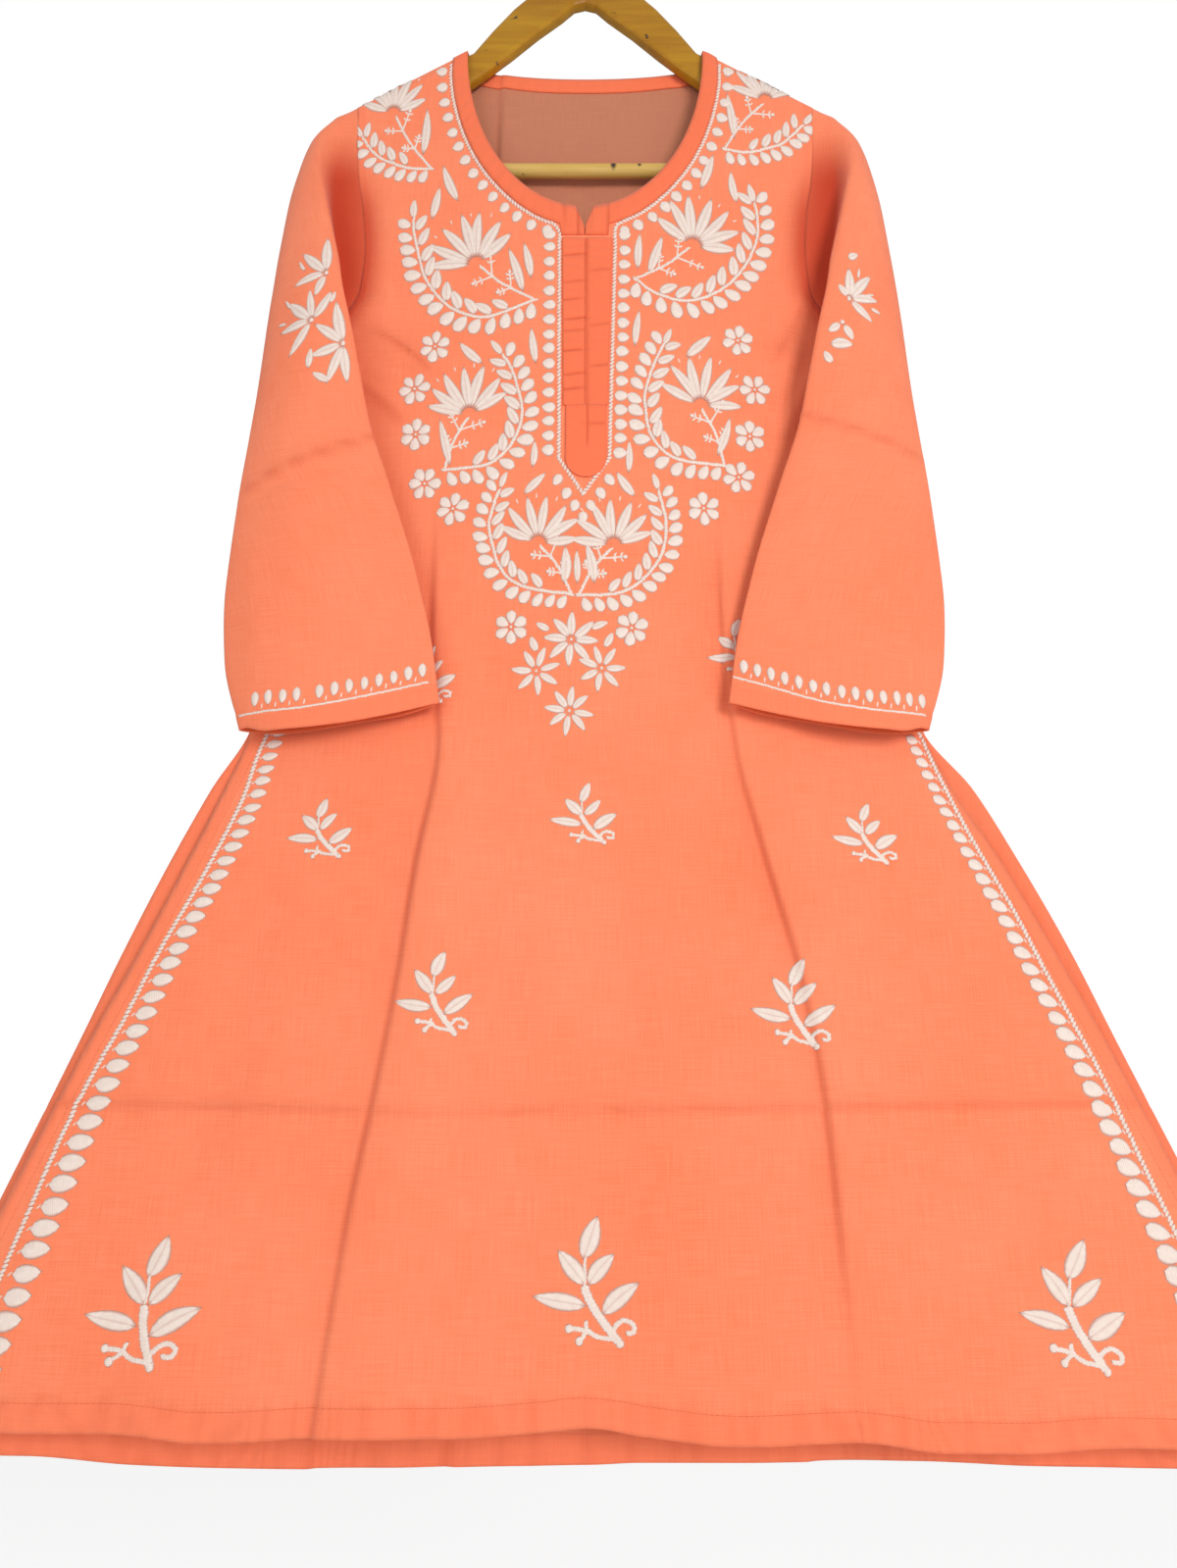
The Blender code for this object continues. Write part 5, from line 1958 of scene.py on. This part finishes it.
# A spray's heart in cm, then its petals: the angle from straight up, the reach from
# the heart and the width in mm.  A leaf is its place in cm, turn, length and width.
SPRAYS = {
    Hand.LEFT: (
        ((-19.9, -44.2), ((-4, 29, 8.6), (-48, 27, 7.6), (-100, 25, 7.2), (202, 19, 6.4))),
        ((-20.7, -48.7), ((-8, 24, 6.8), (34, 24, 7.2), (-48, 28, 8.2), (-97, 25, 7),
                          (-149, 27, 7.4))),
        ((-18.1, -51), ((-12, 31, 8.6), (-54, 26, 7.6), (-107, 24, 7), (-159, 29, 7.8),
                          (168, 28, 7.6))),
    ),
    Hand.RIGHT: (
        ((20.2, -46.7), ((6, 24, 7.4), (43, 27, 8.2), (84, 24, 7), (132, 23, 7),
                         (-34, 13, 5.4))),
        ((19.5, -49), ((152, 15, 6.6), (-122, 13, 6.4))),
    ),
}
SPRAY_LEAVES = {
    Hand.LEFT: ((-20.6, -52.2, 4, 13, 5.4), (-19.6, -53.9, -62, 13, 5.4),
                (-19.2, -46.6, 24, 9, 4), (-22, -43, -34, 10, 2.6),
                (-22.9, -46.4, -36, 9, 2.4), (-23.2, -48.2, -76, 7, 2.4)),
    Hand.RIGHT: ((19.3, -51, 88, 16, 8), (18.2, -52.2, -35, 9, 6),
                 (20.9, -42.3, 60, 9, 6), (21.9, -46, 70, 8, 2.4),
                 (21.2, -44, 14, 8, 2.4), (22.3, -47.4, 104, 8, 3)),
}

# The corded lines above the cuffs' edges, in cm.
CUFF_LINES = {
    Hand.LEFT: ((-23.3, -80.5), (-21.7, -80.52), (-19.1, -80.5), (-16.3, -80.05), (-13.1, -79.3),
                (-10.5, -78.55)),
    Hand.RIGHT: ((10.2, -78.2), (12.3, -78.9), (14.4, -79.65), (16.4, -80.2), (18.7, -80.55),
                 (20.5, -80.65), (23.2, -80.5)),
}

# The drops along the cuffs: pitch in cm, then where each run starts and how many it has.
CUFF_DROPS = {Hand.LEFT: (1, ((1.1, 4), (5.6, 8))), Hand.RIGHT: (0.955, ((0.6, 14),))}


def work_sleeve(needle: Needlework, hand: Hand) -> None:
    """Embroider a sleeve's spray and the drops along its cuff.

    Args:
        needle: The needlework on that sleeve.
        hand: Which sleeve.
    """
    for place, petals in SPRAYS[hand]:
        heart = drawn(place)
        for turn, length, width in petals:
            needle.add(Motif.LEAF, *(heart + 0.28 * toward(turn)), turn, length - 2.8, width, 1.0)
        needle.leaf(*heart, 0.0, 3.4, 3.4, Motif.KNOT)
    for x, z, turn, length, width in SPRAY_LEAVES[hand]:
        needle.leaf(*drawn((x, z)), turn, length, width)
    line = drawn(CUFF_LINES[hand])
    needle.line(line, pitch=2.3, length=3.8, width=1.8, slant=10.0)
    pitch, runs = CUFF_DROPS[hand]
    for start, count in runs:
        at, _ = along_path(line, pitch, start)
        for x, z in at[:count]:
            needle.add(Motif.DROP, x, z + 0.42, 0.0, 9.0, 5.7)
        at, _ = along_path(line, pitch, start + 0.5 * pitch)
        for x, z in at[:count]:
            needle.add(Motif.STITCH, x, z + 0.14, 4.0, 4.4, 1.3, 0.5)


# ---------------- finishes
class NodeWork:
    """Short calls for the shader nodes of one material or world."""

    def __init__(self, tree: bpy.types.NodeTree) -> None:
        """Take the tree that the nodes go into."""
        self.tree = tree

    def put(self, node: bpy.types.Node, inputs: Inputs) -> None:
        """Link a node's inputs, or set their constants.

        Args:
            node: The node.
            inputs: A socket to link or a constant, by the input's name or number.
        """
        for name, value in inputs.items():
            if isinstance(value, Socket):
                self.tree.links.new(value, node.inputs[name])
            else:
                node.inputs[name].default_value = value

    def node(self, kind: str, inputs: Inputs, **options: str) -> bpy.types.Node:
        """Add a node.

        Args:
            kind: Its type, without ShaderNode.
            inputs: What its inputs are linked to or set to.
            options: Its own settings.

        Returns:
            The node.
        """
        made = self.tree.nodes.new(f"ShaderNode{kind}")
        for option, choice in options.items():
            setattr(made, option, choice)
        self.put(made, inputs)
        return made

    def coords(self, kind: str) -> Socket:
        """The piece's UV map, or its Object coordinates."""
        return self.node("TexCoord", {}).outputs[kind]

    def attribute(self, name: str) -> Socket:
        """The value of one of the mesh's attributes."""
        return self.node("Attribute", {}, attribute_name=name).outputs["Fac"]

    def noise(self, source: Socket, cells: Row, detail: float = 3.0,
              roughness: float = 0.5) -> Socket:
        """A noise from 0 to 1, with a number of cells to a metre along each axis."""
        scaled = self.node("Mapping", {"Vector": source, "Scale": cells}).outputs["Vector"]
        return self.node("TexNoise", {"Vector": scaled, "Scale": 1.0, "Detail": detail,
                                      "Roughness": roughness}).outputs["Fac"]

    def wave(self, source: Socket, axis: str, pitch: float, distortion: float) -> Socket:
        """Fine bands across one axis of the coordinates, a pitch in metres apart."""
        scale = math.pi / (pitch * 20.0)
        return self.node(
            "TexWave", {"Vector": source, "Scale": scale, "Distortion": distortion, "Detail": 1.0},
            wave_type="BANDS", bands_direction=axis).outputs["Fac"]

    def spread(self, source: Socket, low: float, high: float,
               to_low: float = 0.0, to_high: float = 1.0) -> Socket:
        """Map a value from one range to another."""
        return self.node("MapRange", {"Value": source, "From Min": low, "From Max": high,
                                      "To Min": to_low, "To Max": to_high}).outputs["Result"]

    def join(self, operation: str, first: Socket, second: Socket | float) -> Socket:
        """Join two values by a Math node."""
        return self.node("Math", {0: first, 1: second}, operation=operation).outputs["Value"]

    def mix(self, share: Socket, first: Colour | Socket, second: Colour | Socket) -> Socket:
        """Mix two colours by a value; a colour mix has its colours in sockets 6 and 7."""
        first, second = (c if isinstance(c, Socket) else (*c, 1.0) for c in (first, second))
        return self.node("Mix", {0: share, 6: first, 7: second}, data_type="RGBA").outputs[2]

    def bump(self, height: Socket, distance: float, strength: float,
             under: Socket | None = None) -> Socket:
        """A bump by a height, on top of another one if that is given."""
        made = self.node("Bump", {"Height": height, "Distance": distance, "Strength": strength})
        if under is not None:
            self.put(made, {"Normal": under})
        return made.outputs["Normal"]


class MaterialWork(NodeWork):
    """A new material with its Principled shader."""

    def __init__(self, name: str) -> None:
        """Start the material."""
        self.material = bpy.data.materials.new(name)
        self.material.use_nodes = True
        super().__init__(self.material.node_tree)

    def shade(self, inputs: Inputs) -> Material:
        """Link or set the shader's inputs, and give the material."""
        self.put(self.tree.nodes["Principled BSDF"], inputs)
        return self.material


@dataclass(frozen=True)
class CottonFinish:
    """Plain-woven slub cotton, read from the piece's own UV map in metres.

    Its colour goes from deep to light with the slubs, to doubled where the cloth is
    turned, to a painted shade colour in folds, creases and valleys, and, above a
    given height, to a darker colour of painted shade.
    """

    name: str
    light: Colour
    deep: Colour
    doubled: Colour
    # The painted shade colour of folds, creases and valleys.
    painted_shade: Colour = (0.54, 0.036, 0.002)
    painted_dim: Colour | None = None
    painted_dim_above: Place = (-0.76, -0.62)
    painted_dim_deep: float = 0.83
    roughness: float = 0.86
    sheen: float = 0.12
    pitch: float = 0.42 * MM

    def make(self) -> Material:
        """Build the material.

        Returns:
            The material.
        """
        work = MaterialWork(self.name)
        flat, solid = work.coords("UV"), work.coords("Object")
        doubled = work.attribute("double")
        weft = work.noise(flat, (38.0, 1300.0, 1.0), 2.0)
        warp = work.noise(flat, (1300.0, 38.0, 1.0), 2.0)
        slubs = work.spread(work.join("ADD", weft, warp), 0.78, 1.22)
        clouds = work.spread(work.noise(solid, (9.0, 9.0, 9.0), 4.0, 0.6), 0.3, 0.7)
        share = work.join("ADD", work.join("MULTIPLY", slubs, 0.5), 0.12)
        share = work.join("ADD", share, work.join("MULTIPLY", clouds, 0.34))
        colour = work.mix(share, self.deep, self.light)
        colour = work.mix(work.join("MULTIPLY", doubled, 0.55), colour, self.doubled)
        # Painted shade: darker above the given height, inside the back of the neck.
        if self.painted_dim:
            height = work.node("SeparateXYZ", {0: solid}).outputs["Z"]
            shaded = work.mix(share, tuple(c * self.painted_dim_deep for c in self.painted_dim), self.painted_dim)
            colour = work.mix(work.spread(height, *self.painted_dim_above), colour, shaded)
        # Painted shade in folds, creases and valleys.
        colour = work.mix(work.attribute("painted_shade"), colour, self.painted_shade)
        threads = work.join("ADD", work.wave(flat, "X", self.pitch, 0.6),
                            work.wave(flat, "Y", self.pitch, 0.6))
        crinkle = work.noise(solid, (90.0, 90.0, 60.0), 3.0, 0.55)
        puckers = work.join("MULTIPLY", work.noise(flat, (150.0, 60.0, 1.0), 2.0), doubled)
        normal = work.bump(threads, 0.05 * MM, 0.5)
        normal = work.bump(slubs, 0.12 * MM, 0.6, normal)
        normal = work.bump(crinkle, 0.5 * MM, 0.5, normal)
        normal = work.bump(puckers, 1.2 * MM, 0.7, normal)
        return work.shade({"Base Color": colour, "Normal": normal, "Roughness": self.roughness,
                           "Sheen Weight": self.sheen, "Sheen Roughness": 0.5})


@dataclass(frozen=True)
class ThreadFinish:
    """Soft cotton thread in satin stitches across each petal, with painted shade at its edges, ends
    and a leaf's vein.
    """

    name: str
    light: Colour
    deep: Colour
    rim_painted_shade: Colour
    pitch: float = 0.55 * MM

    def make(self) -> Material:
        """Build the material.

        Returns:
            The material.
        """
        work = MaterialWork(self.name)
        strands = work.wave(work.coords("UV"), "Y", self.pitch, 1.5)
        uneven = work.noise(work.coords("Object"), (260.0, 260.0, 260.0), 2.0)
        share = work.join("ADD", work.join("MULTIPLY", strands, 0.45),
                          work.join("MULTIPLY", uneven, 0.7))
        # Painted shade at the stitches' edges and veins.
        edge = work.spread(work.attribute("rim_painted_shade"), 0.64, 0.94, 0.0, 0.92)
        colour = work.mix(edge, work.mix(share, self.deep, self.light), self.rim_painted_shade)
        normal = work.bump(uneven, 0.3 * MM, 0.6, work.bump(strands, 0.15 * MM, 0.7))
        return work.shade({"Base Color": colour, "Normal": normal, "Roughness": 0.62,
                           "Sheen Weight": 0.25})


@dataclass(frozen=True)
class WoodFinish:
    """Golden varnished wood with long grain, some darker streaks and specks.

    A knot is its place across and up in cm, then half its width and height in mm.
    """

    name: str
    light: Colour
    deep: Colour
    speck: Colour = (0.05, 0.03, 0.02)
    knots: Rows = ()

    def make(self) -> Material:
        """Build the material.

        Returns:
            The material.
        """
        work = MaterialWork(self.name)
        solid = work.coords("Object")
        grain = work.noise(solid, (14.0, 240.0, 160.0), 5.0, 0.6)
        broad = work.noise(solid, (5.0, 40.0, 26.0), 3.0)
        share = work.join("ADD", work.join("MULTIPLY", grain, 0.6),
                          work.join("MULTIPLY", broad, 0.7))
        colour = work.mix(work.spread(share, 0.45, 0.85), self.deep, self.light)
        specks = work.spread(work.noise(solid, (120.0, 120.0, 120.0), 1.0), 0.74, 0.78)
        colour = work.mix(specks, colour, self.speck)
        for x, z, wide, high in self.knots:
            near = work.node("Mapping", {
                "Vector": solid, "Scale": (1 / (wide * MM), 0.0, 1 / (high * MM)),
                "Location": (-x * CM / (wide * MM), 0.0, -z * CM / (high * MM))})
            far = work.node("VectorMath", {0: near.outputs["Vector"]}, operation="LENGTH")
            knot = work.spread(far.outputs["Value"], 0.6, 1.7, 1.0, 0.0)
            colour = work.mix(knot, colour, self.speck)
        return work.shade({
            "Base Color": colour, "Normal": work.bump(grain, 0.15 * MM, 0.35), "Roughness": 0.38,
            "Specular IOR Level": 0.3, "Coat Weight": 0.08, "Coat Roughness": 0.18})


@dataclass(frozen=True)
class SteelFinish:
    """Bright drawn steel wire, lightly brushed."""

    name: str
    tone: Colour = (0.62, 0.62, 0.63)

    def make(self) -> Material:
        """Build the material.

        Returns:
            The material.
        """
        work = MaterialWork(self.name)
        brushed = work.noise(work.coords("Object"), (900.0, 900.0, 900.0), 3.0)
        dark = tuple(value * 0.8 for value in self.tone)
        return work.shade({
            "Base Color": work.mix(brushed, dark, self.tone), "Metallic": 1.0,
            "Roughness": work.spread(brushed, 0.3, 0.7, 0.22, 0.36),
            "Normal": work.bump(brushed, 0.03 * MM, 0.3)})


COTTON = CottonFinish(
    "coral_cotton", (0.98, 0.275, 0.137), (0.91, 0.185, 0.07), (0.95, 0.20, 0.085))
# The inside of the back is darker above the chest: painted shade where it lies inside the garment.
COTTON_INSIDE = CottonFinish(
    "coral_cotton_inside", (0.98, 0.265, 0.13), (0.91, 0.18, 0.068), (0.95, 0.19, 0.08),
    painted_dim=(0.58, 0.20, 0.105))
# A darker, deeper coral for the sleeves' inner face: painted shade inside the cuffs.
SLEEVE_INSIDE_SHADED = CottonFinish(
    "coral_sleeve_inside_painted_shade", (0.90, 0.17, 0.05), (0.80, 0.11, 0.025), (0.86, 0.14, 0.035))
COTTON_DOUBLE = CottonFinish(
    "coral_double_cotton", (0.93, 0.195, 0.08), (0.89, 0.145, 0.05), (0.91, 0.17, 0.065))
THREAD = ThreadFinish(
    "white_thread", (0.90, 0.80, 0.72), (0.74, 0.55, 0.47), (0.46, 0.16, 0.10))
CORAL_THREAD = ThreadFinish(
    "coral_thread", (0.90, 0.19, 0.08), (0.72, 0.11, 0.035), (0.72, 0.11, 0.035))
WOOD = WoodFinish("varnished_wood", (0.50, 0.255, 0.010), (0.35, 0.145, 0.004))
BAR_WOOD = WoodFinish(
    "knotty_wood", (0.74, 0.50, 0.16), (0.55, 0.32, 0.06),
    knots=((2.4, -29.2, 1.9, 3.4), (4.6, -29.2, 1.3, 1.6)))
STEEL = SteelFinish("bright_steel")


# ---------------- studio
@dataclass
class Studio:
    """The floor, the light and the camera.

    A lamp is its name, its place and size in metres, and its power in watts.
    """

    floor_height: float = -1.62
    floor_glow: float = 0.5
    camera_place: Row = (0.003, -0.728, -1.1092)
    camera_pitch: float = 19.85
    lens: float = 26.0
    ambient: float = 0.42
    aim_height: float = -0.75
    lamps: tuple[tuple, ...] = (
        ("key", (1.2, -2.45, -0.75), 0.9, 39.0),
        ("fill", (-1.5, -2.3, -0.7), 1.6, 13.0),
    )

    def build(self) -> None:
        """Set everything up."""
        self._floor()
        self._lights()
        self._camera()

    def _floor(self) -> None:
        """A plain pale floor below the hem, which glows for the camera alone."""
        mesh = bmesh.new()
        bmesh.ops.create_grid(mesh, x_segments=1, y_segments=1, size=12.0)
        bmesh.ops.translate(mesh, verts=mesh.verts, vec=(0.0, 0.0, self.floor_height))
        data = bpy.data.meshes.new("floor")
        mesh.to_mesh(data)
        mesh.free()
        work = MaterialWork("pale_floor")
        data.materials.append(work.shade({
            "Base Color": (0.92, 0.92, 0.92, 1.0), "Roughness": 0.8,
            "Emission Color": (1.0, 1.0, 1.0, 1.0),
            "Emission Strength": self._seen(work, 0.0, self.floor_glow)}))
        put_in_scene("floor", data)

    @staticmethod
    def _seen(work: NodeWork, unseen: float, seen: float) -> Socket:
        """One value for the camera's own rays and another for all others."""
        ray = work.node("LightPath", {}).outputs["Is Camera Ray"]
        return work.spread(ray, 0.0, 1.0, unseen, seen)

    def _lights(self) -> None:
        """A white backdrop whose light is held back, and two soft lamps in front."""
        world = bpy.data.worlds.new("pale_studio")
        world.use_nodes = True
        work = NodeWork(world.node_tree)
        work.put(work.tree.nodes["Background"], {
            "Color": (1.0, 1.0, 1.0, 1.0), "Strength": self._seen(work, self.ambient, 1.0)})
        bpy.context.scene.world = world
        bpy.context.scene.view_settings.view_transform = "Standard"
        for name, place, size, power in self.lamps:
            lamp = bpy.data.lights.new(name, "AREA")
            lamp.size = size
            lamp.energy = power
            light = put_in_scene(name, lamp)
            light.location = place
            aim = Vector((0.0, 0.0, self.aim_height)) - Vector(place)
            light.rotation_euler = aim.to_track_quat("-Z", "Y").to_euler()

    def _camera(self) -> None:
        """The camera, low in front and pitched up."""
        data = bpy.data.cameras.new("camera")
        data.lens = self.lens
        data.sensor_width = 36.0
        camera = put_in_scene("camera", data)
        camera.location = self.camera_place
        camera.rotation_euler = (math.radians(90 + self.camera_pitch), 0.0, 0.0)
        bpy.context.scene.camera = camera


# ---------------- the garment
# What was cut for each piece: its cloth's width and length in metres and its area in
# square metres, worked out from the pattern (widths of the cut at each height).
SHEETS = {
    "front_panel": ((0.80, 1.10), 0.503),
    "back_panel": ((0.83, 1.12), 0.555),
    "sleeve_left": ((0.28, 0.60), 0.112),
    "sleeve_right": ((0.28, 0.60), 0.112),
    "neck_band_left": ((0.265, 0.030), 0.0048),
    "neck_band_right": ((0.265, 0.030), 0.0048),
    "back_neck_facing": ((0.20, 0.015), 0.0030),
    "placket_left": ((0.018, 0.165), 0.0028),
    "placket_right": ((0.022, 0.165), 0.0032),
    "placket_tongue": ((0.031, 0.064), 0.00184),
}


def dress_hanger(frame: dict) -> None:
    """Give the hanger's own solids their wood and steel.
    """
    for node, finish in (("hanger_arms", WOOD.make()), ("hanger_bar", BAR_WOOD.make()),
                         ("hanger_hook", STEEL.make())):
        for place in frame["nodes"][node].material_slots:
            place.material = finish
        log.info("%s: finished", node)


def build_cloth(cut: KurtaCut) -> tuple[dict[str, Piece], Panel]:
    """Make every piece of cloth.

    Args:
        cut: The shared cut.

    Returns:
        The pieces by the solid that each replaces, and the front's panel.
    """
    outer, inner, double = COTTON.make(), COTTON_INSIDE.make(), COTTON_DOUBLE.make()
    # The sleeves' inner face carries painted shade.
    shaded_lining = SLEEVE_INSIDE_SHADED.make()
    front, back = Panel(cut, Side.FRONT), Panel(cut, Side.BACK)
    made = {
        "front_panel": front.build((outer, inner)),
        "back_panel": back.build((outer, inner)),
        "sleeve_left": Sleeve(cut, Hand.LEFT).build((outer, shaded_lining)),
        "sleeve_right": Sleeve(cut, Hand.RIGHT).build((outer, shaded_lining)),
    }
    made.update(NeckAndPlacket(cut).build(front, back, double))
    for node, piece in made.items():
        declare(piece, node)
    return made, front


def build_embroidery(cloth: dict[str, Piece], front: Panel) -> dict[str, list]:
    """Make the needlework, on the finished cloth.

    Args:
        cloth: The pieces of cloth by the solid that each replaces.
        front: The front's panel, whose band the neck's line follows.

    Returns:
        The needlework on each solid's cloth.
    """
    bpy.context.view_layer.update()
    thread = THREAD.make()
    yoke = Needlework("yoke_embroidery", cloth["front_panel"], 3)
    work_yoke(yoke, front)
    skirt = Needlework("skirt_embroidery", cloth["front_panel"], 5)
    work_skirt(skirt)
    made = {"front_panel": [yoke.build(thread), skirt.build(thread)]}
    coral = CORAL_THREAD.make()
    for side in Side:
        node = f"{side.value}_panel"
        needle = Needlework(f"{side.value}_seams", cloth[node], 11, side)
        sew_edges(needle, side)
        made.setdefault(node, []).append(needle.build(coral))
    for hand in Hand:
        node = f"sleeve_{hand.name.lower()}"
        needle = Needlework(f"{node}_embroidery", cloth[node], 7 + hand.value)
        work_sleeve(needle, hand)
        made[node] = [needle.build(thread)]
    for pieces in made.values():
        for piece in pieces:
            declare(piece, None)
    return made


def declare_sheets(cloth: dict[str, Piece]) -> None:
    """Say what each piece of cloth was cut to.

    Args:
        cloth: The pieces of cloth by the solid that each replaces.
    """
    for node, (flat, area) in SHEETS.items():
        piece = cloth[node]
        made = sum(polygon.area for polygon in piece.data.polygons)
        log.info("%s: cut %.4f m2, sheet %.4f m2", node, area, made)


def main() -> None:
    """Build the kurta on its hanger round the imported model."""
    logging.basicConfig(level=logging.INFO, format="%(message)s")
    for item in list(bpy.data.objects):
        bpy.data.objects.remove(item, do_unlink=True)
    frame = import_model()
    Studio().build()
    dress_hanger(frame)
    cloth, front = build_cloth(KurtaCut())
    needlework = build_embroidery(cloth, front)
    declare_sheets(cloth)


if __name__ == "__main__":
    main()
